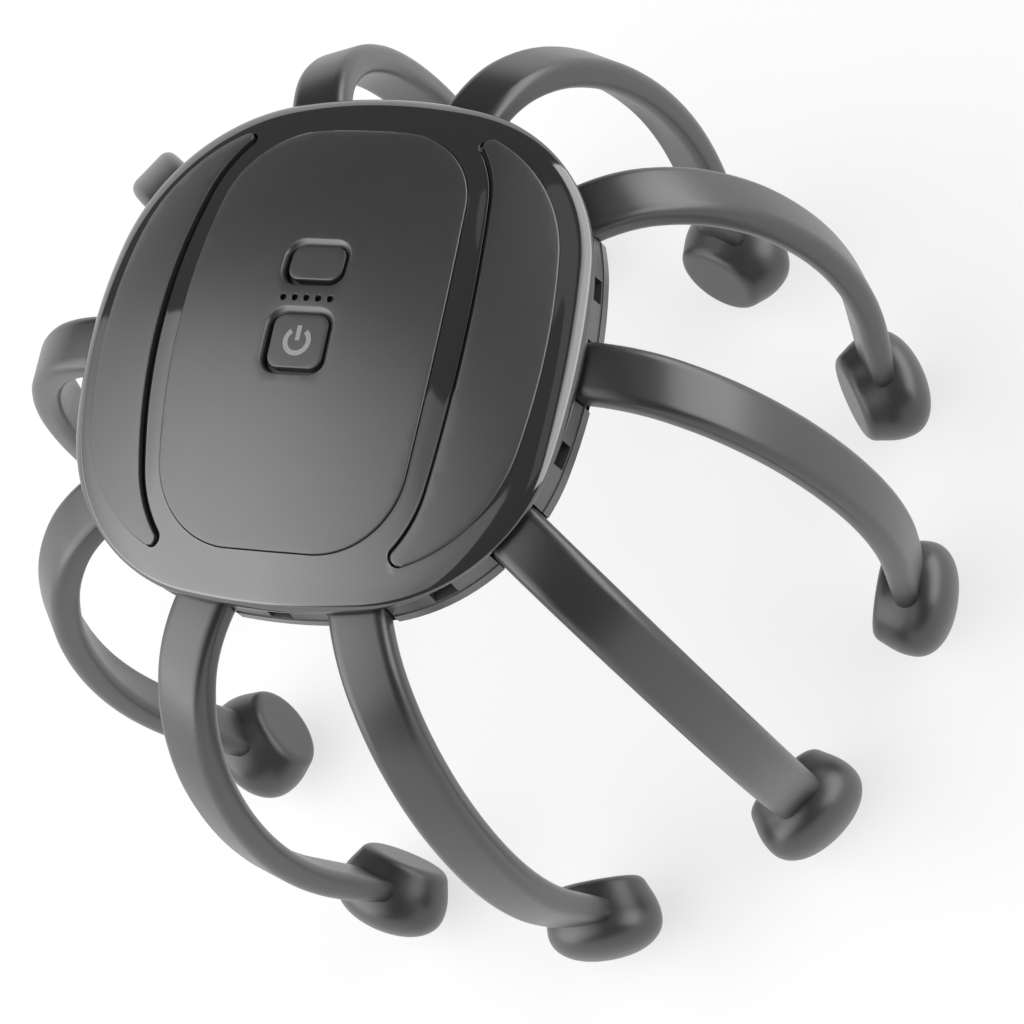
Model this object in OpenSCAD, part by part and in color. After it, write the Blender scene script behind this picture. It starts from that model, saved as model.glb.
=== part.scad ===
// Electric scalp massager: a domed motor housing on ten sprung arms that end in round pads.
// Millimetres, +Z up. The origin is on the surface it stands on, below the middle of the housing.
// +X runs to arm 1, +Y to the top end of the button panel. Arms count anticlockwise from above.

/* [Housing outline] */
// Half-width of the housing, from its middle to a flat side
body_half = 47.7; // [47:0.1:49]
// How much larger the radius of the four long side arcs is than the half-width
body_side_more = 54.3; // [50:0.1:60]
// How much smaller the radius of the four corner arcs is than the half-width
body_corner_less = 12.3; // [11.7:0.1:13]

/* [Top cover] */
// Height of the dome above the parting line
dome_h = 12.4; // [12:0.1:13.5]
// Drop of the dome from its top to a flat side
dome_drop = 9.46; // [8.8:0.02:9.8]
// Height of the straight part of the cover's edge
lip_h = 0.5; // [0.4:0.1:0.9]
// Width over which the cover rounds down to its edge
edge_round = 3.2; // [2.4:0.1:4]
// Width of the lip that stands on the side band
lip_w = 1.9; // [1.5:0.1:2.2]
// Thickness of the cover under its rim
cover_wall = 2.2; // [1.8:0.1:2.4]
// Depth of a wing's pocket below the dome
pocket_depth = 2.4; // [2:0.1:2.5]
// Width of the open slit between a wing and the channel beside it
slit_w = 0.9; // [0.6:0.05:1.1]
// How far the channel has sunk below the dome at the slit
channel_drop = 0.55; // [0.2:0.05:0.8]
// Width of the ledge that carries the centre panel
ledge_w = 3; // [2:0.2:4]
// Height of that ledge
ledge_h = 1.85; // [1.4:0.1:2.2]

/* [Centre panel] */
// Width of the channel between the panel and a wing
channel_w = 5; // [4.6:0.1:5.4]
// Distance from an end of the panel to the edge of the housing
panel_end_gap = 8.8; // [8.2:0.1:10]
// Radius of the panel's long sides
panel_side_r = 214; // [180:2:260]
// Radius of the panel's ends
panel_end_r = 300; // [200:5:400]
// Radius of the panel's corners
panel_corner_r = 16.2; // [12:0.2:18]
// Thickness of the panel
panel_t = 2; // [1.8:0.1:2.4]
// How far the panel stands above the dome
panel_proud = 0.35; // [0.1:0.05:0.6]

/* [Wings] */
// Width of a wing at its middle
wing_w = 12.5; // [12:0.1:13]
// Radius of the long part of a wing's inner edge
wing_in_side_r = 155; // [130:5:180]
// Radius of the short part of that edge, towards the tips
wing_in_corner_r = 24; // [20:0.5:26]
// Radius of the end arc that would close that edge past the tips
wing_in_end_r = 60; // [55:1:65]
// Distance from that end arc to the edge of the housing
wing_end_gap = 1.2; // [0.6:0.1:1.8]
// Distance from a wing's outer edge to the edge of the housing
rim_w = 5.2; // [4.6:0.1:6]
// How much tighter that edge turns at the corners than the housing does there
wing_out_tighter = 1.3; // [0:0.1:2]
// Radius of a wing's tip
wing_tip_r = 1.1; // [0.8:0.1:1.4]
// How far the wings stand above the dome
wing_proud = 0.6; // [0.2:0.05:0.8]
// Gap between a wing and the rim outside it
wing_gap = 0.2; // [0.1:0.05:0.3]
// Wall of a wing, which is hollow from below
wing_wall = 1.1; // [0.8:0.1:1.4]

/* [Buttons and lights] */
// Width of the mode button
mode_w = 10.3; // [9:0.1:11]
// Length of the mode button
mode_l = 6.6; // [6:0.1:7]
// Place of the mode button above the middle
mode_y = 11.5; // [11.2:0.1:13]
// Width of the power button
power_w = 10.5; // [9:0.1:11.5]
// Length of the power button
power_l = 9.9; // [9:0.1:10.2]
// Place of the power button below the middle
power_y = -3.1; // [-4:0.1:-2.9]
// Corner radius of the buttons
button_corner = 2.2; // [1.5:0.1:2.6]
// How far the button faces lie below the panel
button_sink = 0.35; // [0.1:0.05:0.5]
// Travel of the buttons
button_travel = 0.4; // [0.2:0.05:0.5]
// Width of the sloped recess round a button
recess_w = 0.9; // [0.6:0.1:1]
// Depth of that recess
recess_h = 0.9; // [0.6:0.1:1.1]
// Number of indicator lights
light_count = 5; // [3:1:5]
// Diameter of an indicator light
light_d = 1.1; // [0.8:0.1:1.4]
// Distance from light to light
light_pitch = 2.25; // [2:0.05:2.4]
// Place of the row of lights above the middle
light_y = 4.65; // [4.5:0.05:4.9]

/* [Side band] */
// Depth of the side band below the parting line
band_h = 7.6; // [7.4:0.1:8.2]
// Depth of the recessed strip of the band
strip_h = 5.2; // [5:0.1:5.6]
// Inset of the strip under the cover
strip_inset = 1.2; // [1:0.1:1.4]
// Inset of the strip at its lower edge
strip_foot_inset = 0.6; // [0.5:0.1:0.8]
// Inset of the lower flange
flange_inset = 0.4; // [0.2:0.1:0.5]
// Inset of the band's inner face
band_in = 3; // [2.8:0.1:3.2]
// Width of a snap window between two arms
window_w = 4.3; // [3.6:0.1:5]
// Height of a snap window
window_h = 3.8; // [3.2:0.1:4]
// Thickness of the ring behind the arms
ring_t = 4.55; // [4.2:0.05:4.8]

/* [Base] */
// Depth of the flat underside below the parting line
base_depth = 20; // [19.5:0.1:22]
// Inset of the flat underside from the outline
base_flat_inset = 22; // [20:0.5:24]
// Wall of the base
base_wall = 2; // [1.8:0.1:2.2]

/* [Arms] */
// Number of arms
arm_count = 10; // [10:1:10]
// Width of an arm
arm_w = 10.6; // [9.8:0.1:10.8]
// Thickness of an arm
arm_t = 5.7; // [5:0.1:5.8]
// Radius of an arm's long edges
arm_edge_r = 2.5; // [1.5:0.1:2.5]
// Distance from an arm's root pivot to a flat side of the housing
root_inset = 3.5; // [3.2:0.1:3.7]
// Depth of the root pivot below the parting line
root_depth = 3.7; // [3.6:0.05:3.8]
// Radius of the trunnions at the root
trunnion_r = 1.7; // [1.4:0.1:1.8]
// Length of a trunnion
trunnion_l = 1.9; // [1.5:0.1:2]
// Radius of the first bend, at the root
bend_1_r = 22.2; // [20:0.2:25]
// Angle of the first bend
bend_1_a = 43.5; // [40:0.5:46]
// Radius of the second bend
bend_2_r = 46.5; // [42:0.5:52]
// Angle of the second bend
bend_2_a = 16.6; // [14:0.2:19]
// Radius of the third bend
bend_3_r = 75.9; // [70:0.5:82]
// Angle of the third bend
bend_3_a = 12.7; // [11:0.2:15]
// Radius of the fourth bend
bend_4_r = 110.7; // [100:0.5:120]
// Angle of the fourth bend
bend_4_a = 27; // [25:0.2:29]
// Length of the straight end, to the middle of the pad
tail_l = 30.5; // [28:0.5:33]

/* [Pads] */
// Largest radius of a pad
pad_r = 9.75; // [9:0.05:10.5]
// Rounding of a pad's back and rim
pad_back_r = 6.2; // [5.6:0.1:6.6]
// Distance of a pad's flat face from its middle
pad_front = 6.3; // [5.8:0.1:6.8]
// Radius of a pad's flat face, with its rounded edge
pad_face_r = 7.4; // [6.8:0.1:8]
// Rounding of the edge of a pad's face
pad_face_round = 2.4; // [1.6:0.1:3]
// Tilt of a pad's face towards the housing
pad_tilt = 13; // [8:1:16]
// Distance that an arm's end reaches past the middle of its pad
tip_past = 1; // [0:0.1:2]

/* [Electronics] */
// Distance from the board's screws to its long edges
board_edge_w = 2.7; // [2.4:0.1:3]
// Distance from the board's screws to its short edges
board_edge_l = 3.6; // [3.2:0.1:4]
// Thickness of the circuit board
board_t = 1.2; // [1:0.1:1.4]
// Height of the board's underside above the parting line
board_z = 1.4; // [1.3:0.05:1.5]
// Side of a key switch
switch_w = 6; // [5:0.1:6.2]
// Height of a key switch without its plunger
switch_h = 3.5; // [3:0.1:3.8]
// Radius of a switch plunger
plunger_r = 1.6; // [1.2:0.1:1.8]
// Height of a plunger above its switch
plunger_h = 0.8; // [0.7:0.05:1]
// Distance from an end of the battery to the edge of the housing
battery_end_gap = 26.7; // [26.2:0.1:28]
// Distance from the battery's far side to the edge of the housing
battery_far_gap = 24.1; // [23.8:0.1:26]
// Height of the battery
battery_h = 8; // [6:0.2:9]
// Gap between the battery and the motor's strap
battery_gap = 0.3; // [0.2:0.1:0.5]

/* [Motor] */
// Gap between the motor can and the floor of the base
motor_lift = 0.5; // [0.4:0.1:1]
// Gap between the motor can and the circuit board
motor_top_gap = 1.9; // [1.6:0.1:2.6]
// Length of the motor can
motor_l = 22; // [20:0.5:23]
// Distance from the motor's axis to the edge of the housing
motor_edge = 34.7; // [34.5:0.1:34.9]
// Place of the motor's nose along X
motor_nose_x = 6; // [5:0.5:7]
// Radius of the motor's shaft
shaft_r = 1; // [0.8:0.1:1.2]
// How much smaller the eccentric weight's radius is than the can's
weight_less = 1; // [0.8:0.1:2]
// Thickness of the eccentric weight
weight_t = 7; // [5:0.5:8]
// Thickness of the motor's strap
strap_t = 1; // [0.8:0.1:1.2]
// Width of the motor's strap
strap_w = 8; // [6:0.5:10]
// Distance from the strap's side to its screws
strap_screw_out = 2.6; // [2.4:0.1:3]
// Radius of the strap's feet and of the bosses under them
strap_foot_r = 2.2; // [2:0.1:2.4]

/* [Screws and charging socket] */
// Distance from a housing screw to the inside of the arm ring
screw_inset = 2; // [1.8:0.1:2.2]
// Radius of a housing screw
screw_r = 1.3; // [1:0.1:1.5]
// Radius of a board or strap screw
small_screw_r = 1; // [0.8:0.1:1.1]
// Height of the heads of the board's screws
small_head_h = 0.55; // [0.5:0.05:0.6]
// Radius of a screw boss
boss_r = 3.2; // [3:0.1:3.4]
// Width of the charging socket
port_w = 8.94; // [8.94:0.01:8.94]
// Height of the charging socket
port_h = 3.2; // [3.2:0.01:3.2]
// Length of the charging socket
port_l = 7.2; // [6.6:0.1:7.3]

/* [Clearances] */
// Gap between a fixed piece and its seat
seat_gap = 0.1; // [0.05:0.01:0.15]
// Running gap round trunnions, plungers and shaft
run_gap = 0.05; // [0.03:0.01:0.08]
// Gap between an arm and the housing
arm_gap = 0.3; // [0.25:0.05:0.35]
// Gap round a button
button_gap = 0.25; // [0.2:0.05:0.3]

/* [Hidden] */
$fn = 96;
eps = 0.01;

arm_step = 360/arm_count;
// Longer than anything that is cut or clipped with it
tall = 40;

// An outline is [half-width, half-length, side radius, end radius, corner radius].
body_side_r = body_half + body_side_more;
body_corner_r = body_half - body_corner_less;
wing_in = body_half - rim_w - wing_w;
BODY = [body_half, body_half, body_side_r, body_side_r, body_corner_r];
PANEL = [wing_in - channel_w, body_half - panel_end_gap, panel_side_r, panel_end_r, panel_corner_r];
WING_IN = [wing_in, body_half - wing_end_gap, wing_in_side_r, wing_in_end_r, wing_in_corner_r];
function inset(o, d) = [for (v = o) v - d];
WING_OUT = inset(BODY, rim_w) - [0, 0, 0, 0, wing_out_tighter];

// Places on an outline, by angle from +X
function corner_centre(o) =
    let (c1 = [o[0] - o[2], 0], c2 = [0, o[1] - o[3]], r1 = o[2] - o[4], r2 = o[3] - o[4],
        d = norm(c2 - c1), u = (c2 - c1)/d, t = (d*d + r1*r1 - r2*r2)/(2*d))
    c1 + t*u + sqrt(r1*r1 - t*t)*[-u[1], u[0]];
function fold(a) = let (b = abs(((a + 180) % 360 + 360) % 360 - 180)) b > 90 ? 180 - b : b;
function side_angle(o) = let (c = corner_centre(o)) atan2(c[1], c[0] - o[0] + o[2]);
function end_angle(o) = let (c = corner_centre(o)) atan2(c[0], c[1] - o[1] + o[3]);
function arc_of(o, a) =
    let (c = corner_centre(o), s = side_angle(o), e = end_angle(o),
        p = [o[0] - o[2] + o[2]*cos(s), o[2]*sin(s)], q = [o[3]*sin(e), o[1] - o[3] + o[3]*cos(e)])
    a < atan2(p[1], p[0]) ? [[o[0] - o[2], 0], o[2]]
        : a > atan2(q[1], q[0]) ? [[0, o[1] - o[3]], o[3]] : [c, o[4]];
function reach(o, angle) =
    let (a = fold(angle), arc = arc_of(o, a), u = [cos(a), sin(a)], b = u*arc[0])
    b + sqrt(b*b - arc[0]*arc[0] + arc[1]*arc[1]);
function facing(o, angle) =
    let (a = fold(angle), arc = arc_of(o, a), n = reach(o, angle)*[cos(a), sin(a)] - arc[0],
        f = atan2(n[1], n[0]), turns = ((angle % 360) + 360) % 360)
    turns <= 90 ? f : turns <= 180 ? 180 - f : turns <= 270 ? 180 + f : 360 - f;

// The closed outline as a flat shape with true arcs. The corner arcs stand out by arc_step, so
// that neighbouring arcs cross instead of only touching.
arc_step = 0.005;
module outline(o) {
    c = corner_centre(o);
    s = side_angle(o);
    e = end_angle(o);
    intersection() {
        union() {
            square([2*o[0] + 2, 2*o[2]*sin(s)], center = true);
            square([2*o[3]*sin(e), 2*o[1] + 2], center = true);
            for (x = [-1, 1], y = [-1, 1]) translate([x*c[0], y*c[1]]) circle(o[4] + arc_step);
        }
        translate([o[0] - o[2], 0]) circle(o[2]);
        translate([o[2] - o[0], 0]) circle(o[2]);
        translate([0, o[1] - o[3]]) circle(o[3]);
        translate([0, o[3] - o[1]]) circle(o[3]);
    }
}

// Sweeps a flat profile along an outline. In the profile, X is the distance outside the outline
// and Y is height.
module sweep(o) {
    c = corner_centre(o);
    s = side_angle(o);
    e = end_angle(o);
    for (turn = [0, 180]) rotate(turn) {
        translate([o[0] - o[2], 0]) rotate(-s)
            rotate_extrude(angle = 2*s) translate([o[2], 0]) children();
        translate([0, o[1] - o[3]]) rotate(90 - e)
            rotate_extrude(angle = 2*e) translate([o[3], 0]) children();
        translate(c) rotate(s) rotate_extrude(angle = 90 - e - s) translate([o[4], 0]) children();
        translate([-c[0], c[1]]) rotate(90 + e)
            rotate_extrude(angle = 90 - e - s) translate([o[4], 0]) children();
    }
}

// A closed ring through cross-sections that all have the same number of points
module ring_loft(rows) {
    n = len(rows);
    m = len(rows[0]);
    polyhedron([for (row = rows, v = row) v],
        [for (i = [0:n - 1], j = [0:m - 1]) let (i2 = (i + 1) % n, j2 = (j + 1) % m)
            each [[i*m + j, i2*m + j2, i*m + j2], [i*m + j, i2*m + j, i2*m + j2]]],
        convexity = 10);
}

// Places its children on the housing's side, where a window is
module on_wall(a) translate(reach(BODY, a)*[cos(a), sin(a)]) rotate(facing(BODY, a)) children();
window_angles = [for (k = [0:arm_count - 1]) arm_step*(k + 0.5)];
port_angle = 90;

// Heights, from the parting line
dome_r = (body_half*body_half + dome_drop*dome_drop)/(2*dome_drop);
function dome(r) = dome_h - dome_r + sqrt(dome_r*dome_r - r*r);
module ball(rise) translate([0, 0, dome_h - dome_r + rise]) sphere(dome_r, $fn = 200);

// The arm's centre line, in the plane of the arm: [distance from the middle, height, heading]
BENDS = [[bend_1_r, bend_1_a], [bend_2_r, bend_2_a], [bend_3_r, bend_3_a], [bend_4_r, bend_4_a]];
function bend_from(p, b) =
    [p[0] + b[0]*(sin(p[2] + b[1]) - sin(p[2])), p[1] - b[0]*(cos(p[2]) - cos(p[2] + b[1])),
        p[2] + b[1]];
bend_start = 0.85;
root_r = body_half - root_inset;
function path(k) = k == 0 ? [root_r + bend_start, -root_depth, 0] : bend_from(path(k - 1), BENDS[k - 1]);
arm_end = path(len(BENDS));
pad_mid = [arm_end[0] + tail_l*cos(arm_end[2]), arm_end[1] - tail_l*sin(arm_end[2])];
pad_low = pad_mid[1] - (pad_r - pad_back_r)*cos(pad_tilt) - pad_back_r;
lip_z = -pad_low;
module raise() translate([0, 0, lip_z]) children();

// ---- Top cover ----
// Middle of the round end between an inner and an outer edge
function tip_centre(in, out, r) =
    let (i = corner_centre(in), j = corner_centre(out), r1 = in[4] + r, r2 = out[4] - r,
        d = norm(j - i), u = (j - i)/d, t = (d*d + r1*r1 - r2*r2)/(2*d))
    i + t*u + sqrt(r1*r1 - t*t)*[-u[1], u[0]];
function heading(v) = atan2(v[1], v[0]);
tip_c = tip_centre(WING_IN, WING_OUT, wing_tip_r);
// The pocket is the wing's shape with the slit on its inner side and a gap on its outer side
POCKET_IN = inset(WING_IN, slit_w);
POCKET_OUT = inset(WING_OUT, -wing_gap);
pocket_r = wing_tip_r + (slit_w + wing_gap)/2;
pocket_c = tip_centre(POCKET_IN, POCKET_OUT, pocket_r);
pocket_end = heading(pocket_c) + asin(pocket_r/norm(pocket_c));
end_in = heading(pocket_c + pocket_r*unit(corner_centre(POCKET_IN) - pocket_c));
end_out = heading(pocket_c + pocket_r*unit(pocket_c - corner_centre(POCKET_OUT)));
end_r = sqrt(pocket_c*pocket_c - pocket_r*pocket_r);
fade_start = 35;
function unit(v) = v/norm(v);
function ease(x) = x <= 0 ? 0 : x >= 1 ? 1 : x*x*(3 - 2*x);
function drop_at(a) = channel_drop*(1 - ease((a - fade_start)/(pocket_end - fade_start)));
// Both sides of the pocket along a ray. Past its end they run on together, close under the rim.
function half_chord(a) = sqrt(max(0.0009, pocket_r*pocket_r - pow(cross([cos(a), sin(a)], pocket_c), 2)));
function pocket_sides(a) =
    a > pocket_end + eps ? let (c = reach(POCKET_OUT, a) - reach(POCKET_OUT, pocket_end) + end_r)
            [c - 0.06, c]
        : let (m = pocket_c*[cos(a), sin(a)])
            [a < end_in ? reach(POCKET_IN, a) : m - half_chord(a),
                a < end_out ? reach(POCKET_OUT, a) : m + half_chord(a)];
round_from = min(end_in, end_out);
function quarter() = concat([for (a = [0:3.5:round_from - 1.2]) a],
    [for (u = [0, 0.35, 0.7, 0.93, 1]) round_from + u*(pocket_end - round_from)],
    [for (u = [0.04, 0.2, 0.36, 0.52, 0.68, 0.84]) pocket_end + u*(90 - pocket_end)]);
cover_angles = let (q = quarter(), n = len(q)) concat(q, [90],
    [for (i = [n - 1:-1:1]) 180 - q[i]], [180], [for (i = [1:n - 1]) 180 + q[i]], [270],
    [for (i = [n - 1:-1:1]) 360 - q[i]]);
function rim_z(a, d) =
    let (r = reach(inset(BODY, d), a), drop = dome(reach(BODY, a)) - lip_h, x = (edge_round - d)/edge_round)
    dome(r) - (x <= 0 ? 0 : drop*(1 - sqrt(max(0, 1 - x*x))));
// One cross-section of the cover: [distance from the middle, height], from the panel outwards
function cover_section(angle) =
    let (a = fold(angle), p = reach(inset(PANEL, -seat_gap), a), q = reach(inset(PANEL, ledge_w), a),
        sides = pocket_sides(a), b = sides[0], c = sides[1], drop = drop_at(a),
        deep = a > pocket_end + eps ? eps : pocket_depth,
        seat = panel_t - panel_proud + seat_gap, low = 0.15)
    concat([[q, dome(q) - seat - ledge_h], [q, dome(q) - seat], [p, dome(p) - seat], [p, dome(p)]],
        [for (u = [0.33, 0.67, 1]) let (r = p + u*(b - p)) [r, dome(r) - u*drop]],
        [[b + eps, dome(b) - max(deep, drop + eps)], [c - eps, dome(c) - deep], [c, dome(c)]],
        [for (d = [edge_round, edge_round*0.6, edge_round*0.3, edge_round*0.1])
            [reach(inset(BODY, d), a), rim_z(a, d)]],
        [[reach(BODY, a), lip_h], [reach(BODY, a), 0]],
        [for (r = [reach(inset(BODY, lip_w), a)]) [r, 0]],
        [for (r = [reach(inset(BODY, lip_w + 0.7), a)]) [r, max(dome(r) - cover_wall, low)]],
        [for (u = [0.8, 0.35]) let (r = b + u*(c - b))
            [r, max(dome(r) - pocket_depth - pocket_floor, low)]],
        [for (r = [b + 0.1*(c - b), p + 0.3*(b - p)]) [r, dome(r) - seat - ledge_h]]);
pocket_floor = 1.3;
module cover_skin() ring_loft([for (a = cover_angles)
    [for (s = cover_section(a)) [s[0]*cos(a), s[0]*sin(a), s[1]]]]);
// Snap tab behind a window, with its barb in the window
tab_w = window_w - 0.4;
tab_t = 1.1;
module snap_tab() {
    translate([-band_in - seat_gap - tab_t, -tab_w/2, -strip_h + 0.6])
        cube([tab_t, tab_w, strip_h + 1.7]);
    translate([-band_in - seat_gap - eps, -tab_w/2, -strip_h + 0.6])
        cube([1, tab_w, window_h*0.5]);
}
module top_cover() raise() color("#2f3032") {
    cover_skin();
    for (a = window_angles) if (a != port_angle) on_wall(a) snap_tab();
}

// ---- Centre panel, buttons and lights ----
module rounded(w, l, r) {
    square([w - 2*r, l], center = true);
    square([w, l - 2*r], center = true);
    for (x = [-1, 1], y = [-1, 1]) translate([x*(w/2 - r), y*(l/2 - r)]) circle(r);
}
module recess(w, l, y) translate([0, y, dome(y) + panel_proud]) hull() {
    translate([0, 0, -recess_h]) linear_extrude(eps)
        rounded(w + 2*button_gap, l + 2*button_gap, button_corner + button_gap, $fn = 32);
    translate([0, 0, 1]) linear_extrude(eps) rounded(w + 2*button_gap + 2*recess_w*(1 + 1/recess_h),
        l + 2*button_gap + 2*recess_w*(1 + 1/recess_h), button_corner + recess_w, $fn = 32);
}
module aperture(w, l, y) translate([0, y, 0]) linear_extrude(tall)
    rounded(w + 2*button_gap, l + 2*button_gap, button_corner + button_gap);
module lights(d, z0, h) for (i = [0:light_count - 1])
    translate([(i - (light_count - 1)/2)*light_pitch, light_y, z0]) cylinder(d = d, h = h);
module centre_panel() raise() color("#4a4b4d") difference() {
    intersection() {
        ball(panel_proud);
        linear_extrude(tall) outline(PANEL);
    }
    ball(panel_proud - panel_t);
    aperture(mode_w, mode_l, mode_y);
    aperture(power_w, power_l, power_y);
    recess(mode_w, mode_l, mode_y);
    recess(power_w, power_l, power_y);
    lights(light_d, 0, tall);
}
flange_w = 0.8;
flange_t = 0.9;
switch_top = board_z + board_t + switch_h;
module button(w, l, y) {
    intersection() {
        ball(panel_proud - button_sink);
        translate([0, y, dome(y) - panel_t]) linear_extrude(10) rounded(w, l, button_corner);
    }
    intersection() {
        ball(panel_proud - panel_t - seat_gap);
        translate([0, y, dome(y) - panel_t - flange_t]) linear_extrude(flange_t + 1)
            rounded(w + 2*flange_w, l + 2*flange_w, button_corner + flange_w);
    }
    translate([0, y, switch_top + plunger_h + run_gap])
        cylinder(r = plunger_r, h = dome(y) - panel_t - flange_t - switch_top - plunger_h);
}
module power_button() raise() color("#57585a") button(power_w, power_l, power_y);
module mode_button() raise() color("#57585a") button(mode_w, mode_l, mode_y);
guide_sink = 0.8;
module light_guide() raise() color("#101112") {
    intersection() {
        ball(panel_proud - guide_sink);
        lights(light_d - 2*run_gap, dome(light_y) - panel_t - 0.6, 5);
    }
    intersection() {
        ball(panel_proud - panel_t - run_gap);
        translate([-light_pitch*light_count/2, light_y - 1.3, dome(light_y) - panel_t - 1.2])
            cube([light_pitch*light_count, 2.6, 3]);
    }
    lights(1.4, board_z + board_t + 1, dome(light_y) - panel_t - board_z - board_t - 1.6);
}

// ---- Wings ----
// Where a tip's round end meets the two edges, as directions from the middle of the tip
tip_in = unit(corner_centre(WING_IN) - tip_c);
tip_out = unit(tip_c - corner_centre(WING_OUT));
tip_reach = 5*wing_tip_r;
module wing_shape(d) intersection() {
    difference() {
        outline(inset(WING_OUT, d));
        outline(inset(WING_IN, -d));
    }
    union() {
        let (upper = [tip_c + tip_reach*tip_in, tip_c, tip_c + tip_reach*tip_out, [tall + wing_in, tip_c[1]]])
            polygon(concat(upper, [for (i = [3:-1:0]) [upper[i][0], -upper[i][1]]]));
        if (d == 0) for (y = [-1, 1])
            translate([tip_c[0], y*tip_c[1]]) circle(wing_tip_r + 4*arc_step);
    }
}
// Part of a shell that follows the dome, between two heights above it
module dome_shell(low, high) rotate(-80) rotate_extrude(angle = 160, $fn = 200) intersection() {
    difference() {
        translate([0, dome_h - dome_r + high]) circle(dome_r);
        translate([0, dome_h - dome_r + low]) circle(dome_r);
    }
    translate([wing_in - slit_w, -tall]) square([tall, 2*tall]);
}
module right_wing_solid() difference() {
    intersection() {
        dome_shell(seat_gap - pocket_depth, wing_proud);
        linear_extrude(tall) wing_shape(0);
    }
    intersection() {
        dome_shell(-pocket_depth - 2, wing_proud - wing_wall);
        translate([0, 0, -1]) linear_extrude(tall) wing_shape(wing_wall);
    }
}
module right_wing() raise() color("#4a4b4d") right_wing_solid();
module left_wing() raise() color("#4a4b4d") rotate(180) right_wing_solid();

// ---- Arm frame: the side band, with a forked seat for each arm ----
slot_half = arm_w/2 + arm_gap;
cheek_t = trunnion_l + 0.1;
ring_out = root_r - arm_t/2 - arm_gap;
ring_in = ring_out - ring_t;
screw_at = ring_in - screw_inset;
band_top = -0.1;
screw_angles = [for (s = [-1.5, 1.5], t = [0, 180]) t + s*arm_step];
module band_profile() polygon([[-strip_inset, band_top], [-strip_foot_inset, -strip_h],
    [-flange_inset, -strip_h], [-flange_inset, -band_h], [-band_in, -band_h], [-band_in, band_top]]);
module inside_band(d, z0, z1) translate([0, 0, z0]) linear_extrude(z1 - z0) outline(inset(BODY, d));
// Space an arm's root needs: round behind the pivot, open outwards
module arm_space() {
    translate([root_r, slot_half, -root_depth]) rotate([90, 0, 0])
        cylinder(r = arm_t/2 + arm_gap, h = 2*slot_half);
    translate([root_r, -slot_half, -root_depth - arm_t/2 - arm_gap])
        cube([tall, 2*slot_half, arm_t + root_depth]);
    translate([root_r, -slot_half, -band_h - 1]) cube([tall, 2*slot_half, band_h]);
}
module trunnion_space() {
    for (s = [-1, 1]) translate([root_r, s*(slot_half + cheek_t/2), 0]) {
        translate([0, 0, -root_depth]) rotate([90, 0, 0])
            cylinder(r = trunnion_r + run_gap, h = cheek_t + 2, center = true);
        translate([-trunnion_r - run_gap, -cheek_t/2 - 1, -band_h - 1])
            cube([2*(trunnion_r + run_gap), cheek_t + 2, band_h + 1 - root_depth]);
    }
}
module arm_frame() raise() color("#3d3e40") difference() {
    union() {
        sweep(BODY) band_profile();
        translate([0, 0, -band_h]) difference() {
            cylinder(r = ring_out, h = band_h + band_top);
            translate([0, 0, -1]) cylinder(r = ring_in, h = band_h + 2);
        }
        intersection() {
            inside_band(band_in - eps, -band_h, band_top);
            for (k = [0:arm_count - 1]) rotate(k*arm_step)
                translate([ring_out - 1, -slot_half - cheek_t, -band_h])
                    cube([12, 2*(slot_half + cheek_t), band_h + band_top]);
        }
        for (a = screw_angles) rotate(a) translate([screw_at, 0, -band_h])
            cylinder(r = boss_r, h = band_h + board_z - seat_gap/2);
    }
    for (k = [0:arm_count - 1]) rotate(k*arm_step) {
        arm_space();
        trunnion_space();
    }
    for (a = window_angles) if (a != port_angle) on_wall(a)
        translate([-band_in - 1, -window_w/2, -strip_h + 0.4]) cube([5, window_w, window_h]);
    for (a = screw_angles) rotate(a) translate([screw_at, 0, 0]) {
        translate([0, 0, -band_h - 1]) cylinder(r = screw_r + run_gap/2, h = band_h - 1);
        translate([0, 0, board_z - 3]) cylinder(r = small_screw_r + run_gap/2, h = 4);
    }
    port_space();
}

// ---- Charging socket, on its own small board ----
port_z = -3;
port_face = body_half - strip_inset + 0.2;
port_board_t = 1;
module port_shape(d) rounded(port_w + 2*d, port_h + 2*d, port_h/2 + d - eps);
module port_space() {
    translate([0, body_half + 1, port_z]) rotate([90, 0, 0]) linear_extrude(8) port_shape(seat_gap*2);
    translate([-port_w/2 - 0.5, ring_in - 1, port_z - port_h/2 - port_board_t - 2*seat_gap])
        cube([port_w + 1, body_half - band_in - ring_in + 1 + eps, 8]);
}
module charge_port() raise() color("#b9bbbd") translate([0, port_face, port_z])
    rotate([90, 0, 0]) difference() {
        linear_extrude(port_l) port_shape(0);
        translate([0, 0, -1]) linear_extrude(port_l - 0.2) difference() {
            port_shape(-0.3);
            square([6.6, 0.7], center = true);
        }
    }
module charge_board() raise() color("#1f4d33")
    translate([-port_w/2 - 0.25, ring_in + 0.6, port_z - port_h/2 - port_board_t - seat_gap/2])
        cube([port_w + 0.5, body_half - band_in - ring_in - 0.7, port_board_t]);

// ---- Base ----
bowl_r = let (w = base_flat_inset - flange_inset, h = base_depth - band_h) (w*w + h*h)/(2*h);
bowl_z = bowl_r - base_depth;
base_top = -band_h - seat_gap/2;
floor_z = -base_depth + base_wall;
foot_h = 0.3;
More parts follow.
